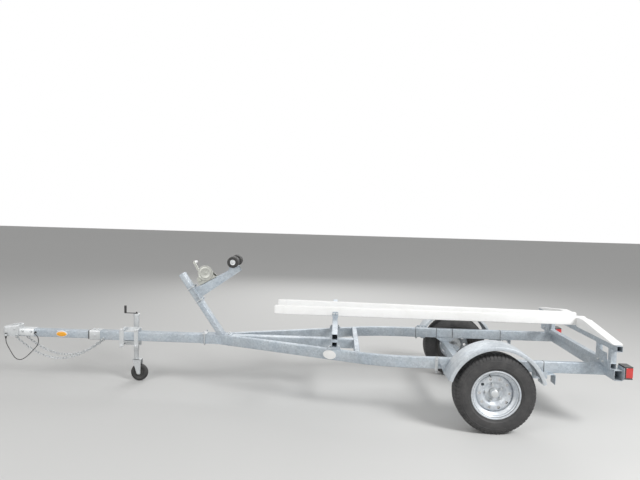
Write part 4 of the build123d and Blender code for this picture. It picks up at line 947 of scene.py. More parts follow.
def rod(bm, points, radius, sides=10, bend=0.0, steps=6):
    """A round bar through points, with its corners bent to a radius."""
    path = [points[0]]
    for before, corner, after in zip(points, points[1:], points[2:]):
        into, out = (before - corner), (after - corner)
        reach = min(bend, into.length * 0.49, out.length * 0.49)
        into.normalize()
        out.normalize()
        start, end = corner + into * reach, corner + out * reach
        for k in range(steps + 1):
            t = k / steps
            path.append(start * (1 - t) ** 2 + corner * 2 * t * (1 - t) + end * t ** 2)
    path.append(points[-1])
    side = (path[1] - path[0]).orthogonal()
    rings = []
    for number, point in enumerate(path):
        ahead = (path[min(number + 1, len(path) - 1)] - path[max(number - 1, 0)]).normalized()
        side = (side - ahead * side.dot(ahead)).normalized()
        up = ahead.cross(side)
        rings.append([point + side * radius * cos(2 * pi * k / sides) + up * radius * sin(2 * pi * k / sides)
                      for k in range(sides)])
    skin(bm, rings)


bm = bmesh.new()
for side in (-1, 1):
    face = on_rail(HOOK_X, 0, side)
    plate(bm, round_corners([(HOOK_Z[0], -0.013), (HOOK_Z[1], -0.013), (HOOK_Z[1], 0.013),
                             (HOOK_Z[0], 0.013)], 0.010), face, 0.004)
    for z in HOOK_BOLTS_Z:
        nut(bm, face @ Vector((z, 0, 0.004)), ACROSS * side, 0.013, 0.007, 0.008, 0.004)
    rod(bm, [face @ Vector((HOOK_Z[0] + 0.004, -0.006, 0.006)),
             face @ Vector((HOOK_Z[0] - 0.004, -0.006, 0.018)),
             face @ Vector((HOOK_Z[0] - 0.004, 0.006, 0.018)),
             face @ Vector((HOOK_Z[0] + 0.004, 0.006, 0.006))], 0.003, 8, 0.005)
add_piece("tie_hooks", bm, bright_zinc, "chassis", "bright_zinc")
rail_band_black = rubber_finish("rail_band_black", (0.030, 0.030, 0.031, 1), (0.015, 0.015, 0.016, 1), ROAD_FILM, 0.3, 0.45)
# Thin black bands round the rails, each with a small square head.
bm = bmesh.new()
for side, x in RAIL_BAND_PLACES:
    tube(bm, [at(x - 0.0025, side * RAIL_Y, FRAME_MID), at(x + 0.0025, side * RAIL_Y, FRAME_MID)], ACROSS,
         RAIL_W + 0.0024, RAIL_H + 0.0024, 0.0011, 0.008)
    lathe(bm, [(0, 0), (0.0040, 0), (0.0040, 0.0040), (0.0032, 0.0050), (0, 0.0050)],
          frame_at(at(x, side * (RAIL_Y - RAIL_W / 2), RAIL_TOP - 0.020), ACROSS * -side), 4, pi / 4)
add_piece("rail_black_bands", bm, rail_band_black, "chassis", "black_paint")
plate_white = rubber_finish("plate_white", (0.90, 0.90, 0.89, 1), (0.80, 0.80, 0.79, 1), (0.6, 0.58, 0.55, 1),
                            0.15, 0.35)
bm = bmesh.new()
face = on_rail(OVAL_X, 0.5225, -1)
oval = [(OVAL_H / 2 * sin(2 * pi * k / 48), OVAL_L / 2 * cos(2 * pi * k / 48)) for k in range(48)]
plate(bm, oval, face, 0.0020, 0.0007)
add_piece("blank_oval_plate", bm, plate_white, "chassis", "white_cover")

# Bunk supports: square tubes across the rails, with short uprights welded between them and the longer
# tubes above. Their ends are open. The front one is bolted on short channels, the rear one on the rails.
SUPPORT = 0.050
SUPPORT_WALL = 0.003
FRONT_X = -1.375
REAR_X = 1.006
UPPER_TOP = {"front": 0.815, "rear": 0.797}
LOWER_MID = {"front": 0.619, "rear": 0.599}
LOWER_HALF = {"front": 0.4518, "rear": 0.760}
UPPER_HALF = 0.845
POSTS = {"front": ((0.4068, SUPPORT),), "rear": ((0.735, SUPPORT), (0.510, 0.042))}
FOOT_H = 0.020
FOOT_L = 0.110
REAR_PLATE_Y = (0.520, 0.700)
REAR_PLATE_Z = (0.600, 0.700)
REAR_BOLTS_Y = (0.570, 0.650)
REAR_BOLTS_Z = 0.612

for place_name, x in (("front", FRONT_X), ("rear", REAR_X)):
    lower_z, upper_z = LOWER_MID[place_name], UPPER_TOP[place_name] - SUPPORT / 2
    half = LOWER_HALF[place_name]
    bm = bmesh.new()
    tube(bm, [at(x, -half, lower_z), at(x, half, lower_z)], ALONG, SUPPORT, SUPPORT, SUPPORT_WALL, 0.005)
    add_piece(f"{place_name}_support_beam_rounded", bm, galvanised, "chassis", "galvanised",
              f"{place_name}_support_beam")
    bm = bmesh.new()
    nuts = bmesh.new()
    for side in (-1, 1):
        for y, size in POSTS[place_name]:
            tube(bm, [at(x, side * y, lower_z + SUPPORT / 2), at(x, side * y, upper_z - SUPPORT / 2)], ALONG,
                 size, size, SUPPORT_WALL, 0.005)
            for z in (lower_z + SUPPORT / 2, upper_z - SUPPORT / 2):
                half_post = size / 2
                weld(bm, [at(x - half_post, side * y - half_post, z),
                          at(x + half_post, side * y - half_post, z),
                          at(x + half_post, side * y + half_post, z),
                          at(x - half_post, side * y + half_post, z),
                          at(x - half_post, side * y - half_post, z)], 0.0022)
        if place_name == "front":
            foot = frame_at(at(x - FOOT_L / 2, side * (half - 0.025), RAIL_TOP), ALONG, ACROSS)
            wall = 0.005
            plate(bm, [(-0.025, 0), (-0.025, FOOT_H), (0.025, FOOT_H), (0.025, 0), (0.025 - wall, 0),
                       (0.025 - wall, FOOT_H - wall), (-0.025 + wall, FOOT_H - wall), (-0.025 + wall, 0)],
                  foot, FOOT_L)
            for end in (-1, 1):
                nut(nuts, at(x + end * 0.040, side * (half - 0.025), RAIL_TOP + FOOT_H), UP, 0.016, 0.008,
                    0.009, 0.005)
        else:
            rear_plate = frame_at(at(x - SUPPORT / 2, side * sum(REAR_PLATE_Y) / 2, sum(REAR_PLATE_Z) / 2),
                                  -ALONG, ACROSS)
            reach, rise = (REAR_PLATE_Y[1] - REAR_PLATE_Y[0]) / 2, (REAR_PLATE_Z[1] - REAR_PLATE_Z[0]) / 2
            plate(bm, round_corners(rectangle(reach, rise), 0.010), rear_plate, 0.006)
            for y in REAR_BOLTS_Y:
                nut(nuts, at(x - SUPPORT / 2 - 0.006, side * y, REAR_BOLTS_Z), -ALONG, 0.017, 0.009, 0.010,
                    0.004)
            nut(nuts, at(x, side * RAIL_Y, lower_z + SUPPORT / 2), UP, 0.017, 0.009, 0.010, 0.008)
    add_piece(f"{place_name}_support_posts_rounded", bm, galvanised, "chassis", "galvanised",
              f"{place_name}_support_posts")
    add_piece(f"{place_name}_support_nuts", nuts, bright_zinc, "chassis", "bright_zinc")
    bm = bmesh.new()
    tube(bm, [at(x, -UPPER_HALF, upper_z), at(x, UPPER_HALF, upper_z)], ALONG, SUPPORT, SUPPORT, SUPPORT_WALL,
         0.005)
    add_piece(f"{place_name}_bunk_tube_rounded", bm, galvanised, "chassis", "galvanised",
              f"{place_name}_bunk_tube")

# Bunks: two boards on edge in a white cover that is folded over their ends and stapled below, and the
# angle brackets that bolt them to the tubes.
BUNK_ENDS = (-1.975, 1.060)
BUNK_FRONT_Y = 0.155
BUNK_REAR_Y = 0.100
BUNK_FRONT_Z = 0.8316
BUNK_REAR_Z = 0.8085
BUNK_W = 0.044
BUNK_H = 0.090
BUNK_FOOT_L = 0.055
BUNK_FOOT_T = 0.005
BUNK_FOOT_UP = 0.045
SEAM_FROM_END = 0.082

bunk_run = BUNK_ENDS[1] - BUNK_ENDS[0]
bunk_mid_x = (BUNK_ENDS[0] + BUNK_ENDS[1]) / 2


def cover_finish(name):
    """White woven cover with a fine pile and a little road film."""
    finish, tree, shader = new_finish(name, roughness=0.85)
    shader.inputs["Sheen Weight"].default_value = 0.25
    shader.inputs["Sheen Roughness"].default_value = 0.5
    link = tree.links.new
    place = add_node(tree, "ShaderNodeTexCoord")
    film = add_node(tree, "ShaderNodeTexNoise", {"Scale": 5.0, "Detail": 6.0, "Roughness": 0.65})
    link(place.outputs["Object"], film.inputs["Vector"])
    spread = add_node(tree, "ShaderNodeMapRange", {"From Min": 0.45, "From Max": 0.8, "To Max": 0.45})
    link(film.outputs["Fac"], spread.inputs["Value"])
    shade = add_node(tree, "ShaderNodeMix", {"A": (0.90, 0.90, 0.89, 1), "B": (0.74, 0.73, 0.70, 1)},
                     data_type="RGBA")
    link(spread.outputs[0], shade.inputs["Factor"])
    link(shade.outputs["Result"], shader.inputs["Base Color"])
    pile = add_node(tree, "ShaderNodeTexVoronoi", {"Scale": 420.0})
    link(place.outputs["Object"], pile.inputs["Vector"])
    raised = add_node(tree, "ShaderNodeBump", {"Strength": 0.35, "Distance": 0.0008})
    link(pile.outputs["Distance"], raised.inputs["Height"])
    link(raised.outputs["Normal"], shader.inputs["Normal"])
    return finish


def bunk_frame(side):
    """A placed frame at the middle of a board's underside: along it, outwards across it, and up."""
    front = at(BUNK_ENDS[0], side * BUNK_FRONT_Y, BUNK_FRONT_Z)
    rear = at(BUNK_ENDS[1], side * BUNK_REAR_Y, BUNK_REAR_Z)
    ahead = (rear - front).normalized()
    level = UP.cross(ahead).normalized() * side
    up = (ahead.cross(level) * side).normalized()
    return Matrix.Translation((front + rear) / 2) @ Matrix((ahead, level, up)).transposed().to_4x4()


white_cover = cover_finish("white_cover")
brackets = bmesh.new()
bracket_nuts = bmesh.new()
for name, side in SIDES:
    place = bunk_frame(side)
    bm = bmesh.new()
    end_fold = [(0.0, 0.74), (0.002, 0.84), (0.006, 0.91), (0.012, 0.95), (0.020, 0.965), (0.050, 0.965),
                (0.076, 0.965), (SEAM_FROM_END, 0.925), (0.088, 0.99), (0.100, 1.0)]
    stations = [(d - bunk_run / 2, s) for d, s in end_fold]
    stations += [(x * (bunk_run / 2 - 0.12) / 40, 1.0) for x in range(-40, 41)]
    stations += [(bunk_run / 2 - d, s) for d, s in end_fold[::-1]]
    rings = []
    for x, shrink in stations:
        swell = 0.0012 * noise.noise(Vector((x * 9, side * 3, 0)))
        rings.append([place @ Vector((x, a * shrink, BUNK_H / 2 + b * shrink))
                      for a, b in rounded_rect(BUNK_W + swell - 0.001, BUNK_H + swell - 0.001, 0.009, 5)])
    skin(bm, rings)
    add_piece(f"bunk_{name}_covered", bm, white_cover, "chassis", "white_cover", f"bunk_{name}")
    for x, top, out in ((FRONT_X, UPPER_TOP["front"], 1), (REAR_X, UPPER_TOP["rear"], -1)):
        along = x - bunk_mid_x
        face = place @ Vector((along, out * BUNK_W / 2, 0))
        inner = place @ Vector((along, -out * BUNK_W / 2, 0))
        up_plate = frame_at(face, (place.to_3x3() @ Vector((0, out, 0))), place.to_3x3() @ Vector((1, 0, 0)))
        reach = BUNK_FOOT_L / 2
        low = top - face.z
        rise, drop = BUNK_FOOT_UP * -side * out, low * -side * out
        plate(brackets, round_corners([(-reach, drop), (reach, drop), (reach, rise), (-reach, rise)], 0.006),
              up_plate, BUNK_FOOT_T)
        tube_top = frame_at(Vector(((face.x + inner.x) / 2, (face.y + inner.y) / 2, top)), UP, ALONG)
        plate(brackets, rectangle(reach, BUNK_W / 2), tube_top, -low - 0.0005)
        for shift in (-0.014, 0.014):
            spot = place @ Vector((along + shift, out * (BUNK_W / 2 + BUNK_FOOT_T), 0.026))
            nut(bracket_nuts, spot, place.to_3x3() @ Vector((0, out, 0)), 0.013, 0.006, 0.008, 0.002)
add_piece("bunk_brackets_folded", brackets, galvanised, "chassis", "galvanised", "bunk_brackets")
add_piece("bunk_bracket_bolts", bracket_nuts, bright_zinc, "chassis", "bright_zinc")

# Rear pads: two boards that lie on the rear tube, level beside the bunks and sloping down to the
# tube's ends. They are wrapped in the same white cover as the bunks.
PAD_W = 0.090
PAD_H = 0.096
PAD_REACH = 0.815
PAD_IN = BUNK_REAR_Y + BUNK_W / 2 + 0.004
PAD_FLAT = 0.140
PAD_TIP = 0.010

bm = bmesh.new()
for side in (-1, 1):
    rings = []
    steps = 40
    for k in range(steps + 1):
        y = PAD_IN + (PAD_REACH - PAD_IN) * k / steps
        fall = max(0.0, (y - PAD_IN - PAD_FLAT) / (PAD_REACH - PAD_IN - PAD_FLAT))
        height = PAD_H + (PAD_TIP - PAD_H) * fall
        shrink = 0.90 if k in (0, steps) else 1.0
        swell = 0.0008 * noise.noise(Vector((y * 14, side * 5, 2)))
        rings.append([at(REAR_X + a * shrink, side * y, UPPER_TOP["rear"] + height / 2 + b * shrink)
                      for a, b in rounded_rect(PAD_W - 0.001 + swell, height - 0.001,
                                               min(0.010, height * 0.4), 5)])
    skin(bm, rings)
add_piece("rear_pads_covered", bm, white_cover, "chassis", "white_cover", "rear_pads")

# Winch post: a leaning rectangular steel tube, welded on a folded saddle. A U-bolt in front and two
# bolts behind hold the saddle on the tongue.
POST_DEEP = 0.054
POST_WIDE = 0.102
POST_WALL = 0.005
POST_FOOT = (-2.530, 0.577)
POST_TOP = (-2.940, 1.178)
SADDLE_X = (-2.727, -2.500)
SADDLE_TAIL_X = -2.415
SADDLE_IN = 0.0453
SADDLE_OUT = 0.0533
SADDLE_LOW = 0.479
TONGUE_TOP = 0.569
STRAP_X = -2.690
STRAP_BOLT_Y = 0.0595
TAIL_BOLT = (-2.450, 0.025)

post_foot, post_top = at(POST_FOOT[0], 0, POST_FOOT[1]), at(POST_TOP[0], 0, POST_TOP[1])
post_dir = (post_top - post_foot).normalized()
post_back = Vector((post_dir.z, 0, -post_dir.x))
bm = bmesh.new()
tube(bm, [post_foot, post_top], ACROSS, POST_WIDE, POST_DEEP, POST_WALL, 0.009, cuts=((post_foot, UP), None))
slant = POST_DEEP / 2 / post_dir.z
corners = [(-slant, -1), (slant, -1), (slant, 1), (-slant, 1), (-slant, -1)]
weld(bm, [post_foot + Vector((x, y * POST_WIDE / 2, 0.001)) for x, y in corners], 0.0045)
add_piece("winch_post_rounded", bm, galvanised, "chassis", "galvanised", "winch_post")

bm = bmesh.new()
saddle_face = frame_at(at(SADDLE_X[0], 0, 0), ALONG, ACROSS)
section = ([(-SADDLE_OUT, SADDLE_LOW), (-SADDLE_IN, SADDLE_LOW), (-SADDLE_IN, TONGUE_TOP),
            (SADDLE_IN, TONGUE_TOP), (SADDLE_IN, SADDLE_LOW), (SADDLE_OUT, SADDLE_LOW)]
           + [(SADDLE_OUT - 0.009 + 0.009 * cos(radians(t)), POST_FOOT[1] - 0.009 + 0.009 * sin(radians(t)))
              for t in range(0, 91, 15)]
           + [(-SADDLE_OUT + 0.009 - 0.009 * sin(radians(t)), POST_FOOT[1] - 0.009 + 0.009 * cos(radians(t)))
              for t in range(0, 91, 15)])
plate(bm, section, saddle_face, SADDLE_X[1] - SADDLE_X[0])
tail = frame_at(at(0, 0, TONGUE_TOP), UP, ALONG)
plate(bm, round_corners([(SADDLE_X[1] - 0.002, -0.0445), (SADDLE_TAIL_X, -0.0445), (SADDLE_TAIL_X, 0.0445),
                         (SADDLE_X[1] - 0.002, 0.0445)], 0.010), tail, 0.008)
add_piece("post_saddle_folded", bm, galvanised, "chassis", "galvanised", "post_saddle")

bm = bmesh.new()
strap_low, strap_high = FRAME_BOTTOM - 0.006, POST_FOOT[1] + 0.022
strap = frame_at(at(STRAP_X, 0, POST_FOOT[1]), UP, ALONG)
plate(bm, round_corners(rectangle(0.020, 0.075), 0.010), strap, 0.006)
rod(bm, [at(STRAP_X, y, z)
         for y, z in ((-STRAP_BOLT_Y, strap_high), (-STRAP_BOLT_Y, strap_low), (STRAP_BOLT_Y, strap_low),
                      (STRAP_BOLT_Y, strap_high))], 0.0055, 10, 0.014)
for side in (-1, 1):
    nut(bm, at(STRAP_X, side * STRAP_BOLT_Y, POST_FOOT[1] + 0.006), UP, 0.017, 0.009, 0.011, 0)
    for z, facing in ((POST_FOOT[1], UP), (FRAME_BOTTOM, -UP)):
        nut(bm, at(TAIL_BOLT[0], side * TAIL_BOLT[1], z), facing, 0.017, 0.009, 0.010, 0.006)
add_piece("saddle_bolts", bm, bright_zinc, "chassis", "bright_zinc")

# Bow arm: a tapered channel folded from galvanised plate, open below, that carries the winch and the
# bow roller. It is welded to a plate that two U-bolts hold on the post.
ARM_SLOPE = radians(29)
ARM_L = 0.506
ARM_W = 0.070
ARM_WALL = 0.005
ARM_SEAT_Z = 1.035
ARM_ROOT_H = 0.115
ARM_END_H = 0.060
U_BOLTS_UP = (0.020, -0.133)
U_BOLT_Y = 0.057

arm_dir = Vector((cos(ARM_SLOPE), 0, sin(ARM_SLOPE)))
arm_up = Vector((-arm_dir.z, 0, arm_dir.x))
seat_run = (ARM_SEAT_Z - POST_FOOT[1] - post_back.z * POST_DEEP / 2) / post_dir.z
arm_root = post_foot + post_dir * seat_run + post_back * (POST_DEEP / 2)


def on_arm(along, up, y):
    """A placed frame at a point of the arm: along it, up from it, and towards the near side."""
    return frame_at(arm_root + arm_dir * along + arm_up * up + ACROSS * y, -ACROSS, arm_dir)


root_low = post_dir * -ARM_ROOT_H
low_along, low_up = root_low.dot(arm_dir), root_low.dot(arm_up)
bm = bmesh.new()
rings = []
arm_place = on_arm(0, 0, 0)
bend_out, bend_in = 0.010, 0.005
half, inner = ARM_W / 2, ARM_W / 2 - ARM_WALL
for k in range(13):
    t = k / 12
    depth = -low_up * (1 - t) + ARM_END_H * t
    outer = [(-half, -depth)] + [(-half + bend_out - bend_out * cos(radians(a)),
                                  -bend_out + bend_out * sin(radians(a))) for a in range(0, 91, 18)]
    outer += [(-y, u) for y, u in outer[::-1]]
    inside = [(-inner, -depth)] + [(-inner + bend_in - bend_in * cos(radians(a)),
                                    -ARM_WALL - bend_in + bend_in * sin(radians(a)))
                                   for a in range(0, 91, 18)]
    inside += [(-y, u) for y, u in inside[::-1]]
    rings.append([arm_place @ Vector((u / low_up * low_along * (1 - t) + ARM_L * t, u, -y))
                  for y, u in outer + inside[::-1]])
skin(bm, rings)
seat_plate = frame_at(arm_root + post_dir * 0.035, post_back, ACROSS)
plate(bm, round_corners([(-0.066, 0), (0.066, 0), (0.066, -0.185), (-0.066, -0.185)], 0.010), seat_plate,
      0.006)
for side in (-1, 1):
    weld(bm, [arm_root + post_back * 0.007 + post_dir * step + ACROSS * side * (half + 0.001)
              for step in (-0.002, -0.108)])
add_piece("winch_arm_folded", bm, galvanised, "chassis", "galvanised", "winch_arm")
bm = bmesh.new()
for run in U_BOLTS_UP:
    spot = arm_root + post_dir * run
    rod(bm, [spot + ACROSS * y + post_back * depth
             for y, depth in ((-U_BOLT_Y, 0.026), (-U_BOLT_Y, -POST_DEEP - 0.006),
                              (U_BOLT_Y, -POST_DEEP - 0.006), (U_BOLT_Y, 0.026))], 0.0050, 10, 0.014)
    for side in (-1, 1):
        nut(bm, spot + ACROSS * side * U_BOLT_Y + post_back * 0.006, post_back, 0.016, 0.009, 0.010, 0)
add_piece("post_u_bolts", bm, bright_zinc, "chassis", "bright_zinc")

# Winch: two zinc plated side plates bolted on the arm, a drum with its gear wheel, and a pressed crank
# with its pinion and a moulded white grip. The webbing is wound up on the drum.
WINCH_ALONG = 0.183
WINCH_UP = 0.084
WINCH_T = 0.005
WINCH_IN = 0.0395
WINCH_SPACERS = ((-0.100, 0.052), (0.0, 0.101))
WINCH_BOLTS = (-0.085, 0.050)
GEAR_TEETH = 60
GEAR_R = 0.0774
GEAR_ROOT_R = 0.0725
GEAR_T = 0.007
GEAR_Y = -0.0465
PINION_TEETH = 12
PINION_R = 0.0160
PINION_ROOT_R = 0.0122
PINION_TURN = radians(205)
MESH_RUN = 0.094
DRUM_R = 0.022
WINCH_SHAFT_R = 0.0078
STRAP_R = 0.047
CRANK_L = 0.190
CRANK_Y = 0.0685
CRANK_T = 0.006
DRUM_SHAFT_HALF = 0.0583
GRIP_R = 0.0148
GRIP_L = 0.090

crank_along = WINCH_ALONG + MESH_RUN * cos(PINION_TURN)
crank_up = WINCH_UP + MESH_RUN * sin(PINION_TURN)
bm = bmesh.new()
edge = round_corners([(-0.115, 0), (0.075, 0), (0.026, 0.110), (-0.026, 0.110), (-0.115, 0.070)], 0.012)
for y in (WINCH_IN + WINCH_T, -WINCH_IN):
    plate(bm, edge, on_arm(WINCH_ALONG, 0, y), WINCH_T)
plate(bm, [(-0.114, 0.0002), (0.074, 0.0002), (0.074, WINCH_T), (-0.114, WINCH_T)],
      on_arm(WINCH_ALONG, 0, WINCH_IN), 2 * WINCH_IN)
for along, up in WINCH_SPACERS:
    lathe(bm, [(0, 0), (0.0050, 0), (0.0050, 2 * WINCH_IN), (0, 2 * WINCH_IN)],
          on_arm(WINCH_ALONG + along, up, WINCH_IN), 14)
for along, up in ((0, WINCH_UP), (crank_along - WINCH_ALONG, crank_up)):
    for y, facing in ((-WINCH_IN - WINCH_T, 1), (WINCH_IN + WINCH_T, -1)):
        collar_place = on_arm(WINCH_ALONG + along, up, y)
        ring_of(bm, [(WINCH_SHAFT_R + 0.0008, 0), (0.0125, 0), (0.0120, facing * 0.0014),
                     (WINCH_SHAFT_R + 0.0008, facing * 0.0014)], collar_place, 24)
for along in WINCH_BOLTS:
    nut(bm, on_arm(WINCH_ALONG + along, WINCH_T, 0).translation, arm_up, 0.015, 0.008, 0.009, 0.005)
winch_zinc = zinc_finish("winch_zinc", (0.570, 0.578, 0.535, 1), (0.39, 0.40, 0.37, 1), 160, 0.3, 0.7,
                         dust=0.15)
add_piece("winch_frame_folded", bm, winch_zinc, "chassis", "bright_zinc", "winch_frame")


def gear_edge(teeth, tip, root, phase):
    """Points round a spur gear, four a tooth."""
    points = []
    for tooth in range(teeth):
        for part, radius in ((-0.36, root), (-0.14, tip), (0.14, tip), (0.36, root)):
            turn = phase + 2 * pi * (tooth + part) / teeth
            points.append((radius * cos(turn), radius * sin(turn)))
    return points


def gear(bm, edge, place, thick, faces):
    """A gear from its toothed edge, with faces that step in and out at (radius, depth) on both sides."""
    def circle(radius, height):
        return [place @ Vector((cos(atan2(y, x)) * radius, sin(atan2(y, x)) * radius, height))
                for x, y in edge]

    rings = [circle(radius, depth) for radius, depth in faces]
    rings += [[place @ Vector((x, y, height)) for x, y in edge] for height in (0, thick)]
    rings += [circle(radius, thick - depth) for radius, depth in faces[::-1]]
    skin(bm, rings)


gear_faces = [(0.011, -0.0012), (0.017, -0.0012), (0.019, 0.0018), (0.042, 0.0018), (0.046, 0.0),
              (0.055, 0.0), (0.058, 0.0018), (0.064, 0.0018), (0.066, 0.0)]
bm = bmesh.new()
gear(bm, gear_edge(GEAR_TEETH, GEAR_R, GEAR_ROOT_R, PINION_TURN), on_arm(WINCH_ALONG, WINCH_UP, GEAR_Y),
     GEAR_T, gear_faces)
shaft_run = 2 * DRUM_SHAFT_HALF
lathe(bm, [(0, 0), (WINCH_SHAFT_R - 0.001, 0), (WINCH_SHAFT_R, 0.001), (WINCH_SHAFT_R, shaft_run - 0.001),
           (WINCH_SHAFT_R - 0.001, shaft_run), (0, shaft_run)],
      on_arm(WINCH_ALONG, WINCH_UP, DRUM_SHAFT_HALF), 28)
lathe(bm, [(0, 0), (0.036, 0), (0.036, 0.003), (DRUM_R, 0.003), (DRUM_R, 0.073), (0.036, 0.073),
           (0.036, 0.076), (0, 0.076)], on_arm(WINCH_ALONG, WINCH_UP, 0.038), 40)
add_piece("winch_drum_geared", bm, winch_zinc, "winch_drum", "bright_zinc", "winch_drum")
webbing = rubber_finish("webbing", (0.055, 0.057, 0.060, 1), (0.025, 0.026, 0.028, 1), ROAD_FILM, 0.3, 0.9,
                        60)
bm = bmesh.new()
turns = [(DRUM_R + 0.0005, -0.026)]
layers = 9
for k in range(layers):
    r = DRUM_R + 0.001 + (STRAP_R - DRUM_R - 0.002) * k / (layers - 1)
    turns += [(r - 0.0009, -0.0265 - 0.0006 * (k % 2)), (r + 0.0009, -0.0268 - 0.0006 * (k % 2))]
turns += [(STRAP_R, -0.0255), (STRAP_R + 0.0003, 0.0), (STRAP_R, 0.0255)]
ring_of(bm, turns + [(r, -h) for r, h in turns[-4::-1]], on_arm(WINCH_ALONG, WINCH_UP, 0), 56)
add_piece("winch_webbing", bm, webbing, "winch_drum", "roller_rubber")

bm = bmesh.new()
gear(bm, gear_edge(PINION_TEETH, PINION_R, PINION_ROOT_R, pi + PINION_TURN + pi / PINION_TEETH),
     on_arm(crank_along, crank_up, GEAR_Y), GEAR_T, [(0.0085, -0.0008), (0.0105, 0.0)])
crank_out = CRANK_Y + CRANK_T
shaft_run = DRUM_SHAFT_HALF + CRANK_Y + CRANK_T
lathe(bm, [(0, 0), (WINCH_SHAFT_R, 0), (WINCH_SHAFT_R, shaft_run - 0.001), (WINCH_SHAFT_R - 0.001, shaft_run),
           (0, shaft_run)], on_arm(crank_along, crank_up, crank_out), 28)
crank_plate = round_corners([(-0.012, -0.014), (0.012, -0.014), (0.012, CRANK_L + 0.014),
                             (-0.012, CRANK_L + 0.014)], 0.012, 8)
plate(bm, crank_plate, on_arm(crank_along, crank_up, crank_out), CRANK_T, 0.001)
nut(bm, on_arm(crank_along, crank_up, crank_out).translation, ACROSS, 0.016, 0.009, 0.010, 0)
add_piece("winch_crank_pressed", bm, winch_zinc, "winch_crank", "bright_zinc", "winch_crank")


def grip_profile(radius, length, ribs):
    """A moulded hand grip with rounded ribs, from (radius, height) points."""
    points = [(0, 0), (radius * 0.8, 0), (radius * 0.95, 0.003)]
    for k in range(ribs):
        h = 0.006 + (length - 0.014) * k / ribs
        step = (length - 0.014) / ribs
        points += [(radius, h), (radius, h + step * 0.6), (radius * 0.9, h + step * 0.72),
                   (radius * 0.9, h + step * 0.9)]
    return points + [(radius, length - 0.007), (radius * 0.93, length - 0.002), (radius * 0.7, length),
                     (0, length)]


bm = bmesh.new()
lathe(bm, grip_profile(GRIP_R, GRIP_L, 8),
      frame_at(on_arm(crank_along, crank_up + CRANK_L, crank_out).translation, ACROSS), 24)
add_piece("winch_grip", bm, plate_white, "winch_crank", "white_cover")

# Bow roller: two ribbed rubber rollers on one zinc plated shaft, outside the ears of a pressed bracket
# that is bolted to the arm's end.
ROLLER_ALONG = 0.497
ROLLER_UP = 0.0515
ROLLER_R = 0.056
ROLLER_IN = 0.047
ROLLER_OUT = 0.131
EAR_IN = 0.035
EAR_T = 0.006
EAR_BOLTS = (-0.085, -0.030)

bm = bmesh.new()
ear = round_corners([(-0.110, -0.049), (0, -0.049), (0, 0), (0.022, 0.0515), (0.011, 0.0735),
                     (-0.022, 0.0735), (-0.110, -0.011)], 0.010)
for side, y in ((1, EAR_IN + EAR_T), (-1, -EAR_IN)):
    plate(bm, ear, on_arm(ROLLER_ALONG, 0, y), EAR_T)
    for along in EAR_BOLTS:
        spot = on_arm(ROLLER_ALONG + along, -0.030, side * (EAR_IN + EAR_T)).translation
        nut(bm, spot, ACROSS * side, 0.014, 0.005, 0.009, 0)
add_piece("roller_bracket_pressed", bm, galvanised, "chassis", "galvanised", "roller_bracket")

roller_rubber = rubber_finish("roller_rubber", (0.030, 0.030, 0.031, 1), (0.012, 0.012, 0.013, 1), ROAD_FILM,
                              0.25, 0.55)
roller, bm = bmesh.new(), bmesh.new()
run = ROLLER_OUT - ROLLER_IN
profile = [(0, 0), (0.012, 0), (0.013, 0.003), (0.034, 0.003), (0.036, 0), (0.050, 0), (0.0548, 0.0018),
           (ROLLER_R, 0.006)]
for k in range(1, 4):
    middle = run * k / 4
    profile += [(ROLLER_R, middle - 0.004), (ROLLER_R - 0.003, middle - 0.0025),
                (ROLLER_R - 0.003, middle + 0.0025), (ROLLER_R, middle + 0.004)]
profile += [(ROLLER_R, run - 0.006), (0.0548, run - 0.0018), (0.050, run), (0.036, run), (0.034, run - 0.004),
            (0.013, run - 0.004), (0.012, run), (0, run)]
for side in (-1, 1):
    lathe(roller, profile,
          frame_at(on_arm(ROLLER_ALONG, ROLLER_UP, side * ROLLER_IN).translation, ACROSS * side), 56)
    lathe(bm, [(0, 0), (0.0262, 0), (0.0270, 0.0008), (0.0262, 0.0016), (0.0235, 0.0022), (0.0205, 0.0008),
               (0.0150, 0.0008), (0.0130, 0.0034), (0.0078, 0.0036), (0.0078, 0.0070), (0.0068, 0.0080),
               (0, 0.0080)],
          frame_at(on_arm(ROLLER_ALONG, ROLLER_UP, side * ROLLER_OUT).translation, ACROSS * side), 28)
lathe(bm, [(0, 0), (0.0078, 0), (0.0078, 2 * ROLLER_IN), (0, 2 * ROLLER_IN)],
      on_arm(ROLLER_ALONG, ROLLER_UP, ROLLER_IN), 28)
add_piece("bow_roller_ribbed", roller, roller_rubber, "bow_roller", "roller_rubber", "bow_roller", sharp=28)
add_piece("bow_roller_shaft", bm, bright_zinc, "bow_roller", "bright_zinc")

# Jack: a swing-up tongue jack on the far side. Two bars and a plate are bolted round the tongue, and the
# tube swings on the plate's pivot. Its screw leg carries a swivelling fork with a rubber wheel.
JACK_X = -3.470
JACK_Y = 0.165
CLAMP_Z = (0.410, 0.600)
CLAMP_X = (-3.565, -3.372)
CLAMP_BARS = ((-3.565, -3.520), (-3.415, -3.372))
CLAMP_PLATE_X = (-3.516, -3.419)
BOLT_Z = (0.588, 0.426)
PIVOT_R = 0.026
PIVOT_END = 0.1262
PIVOT_IN = 0.0452
MOUNT_OUT = 0.053
JACK_R = 0.0285
JACK_WALL = 0.003
JACK_Z = (0.324, 0.689)
DISC_R = 0.032
CAP_R = 0.0325
CRANK_Z = 0.717
CRANK_REACH = 0.120
LEG_R = 0.0248
LEG_Z = (0.2362, 0.584)
FORK_X = (-3.504, -3.413)
FORK_Z = (0.2277, 0.2357)
FORK_OUT = 0.033
CHEEK_T = 0.005
WHEEL_X = -3.435
SMALL_WHEEL_R = 0.090
SMALL_WHEEL_W = 0.044


def side_view(x, y, z):
    """A placed frame for outlines seen from the near side: rearwards, up, and towards the viewer."""
    return frame_at(at(x, y, z), -ACROSS, ALONG)


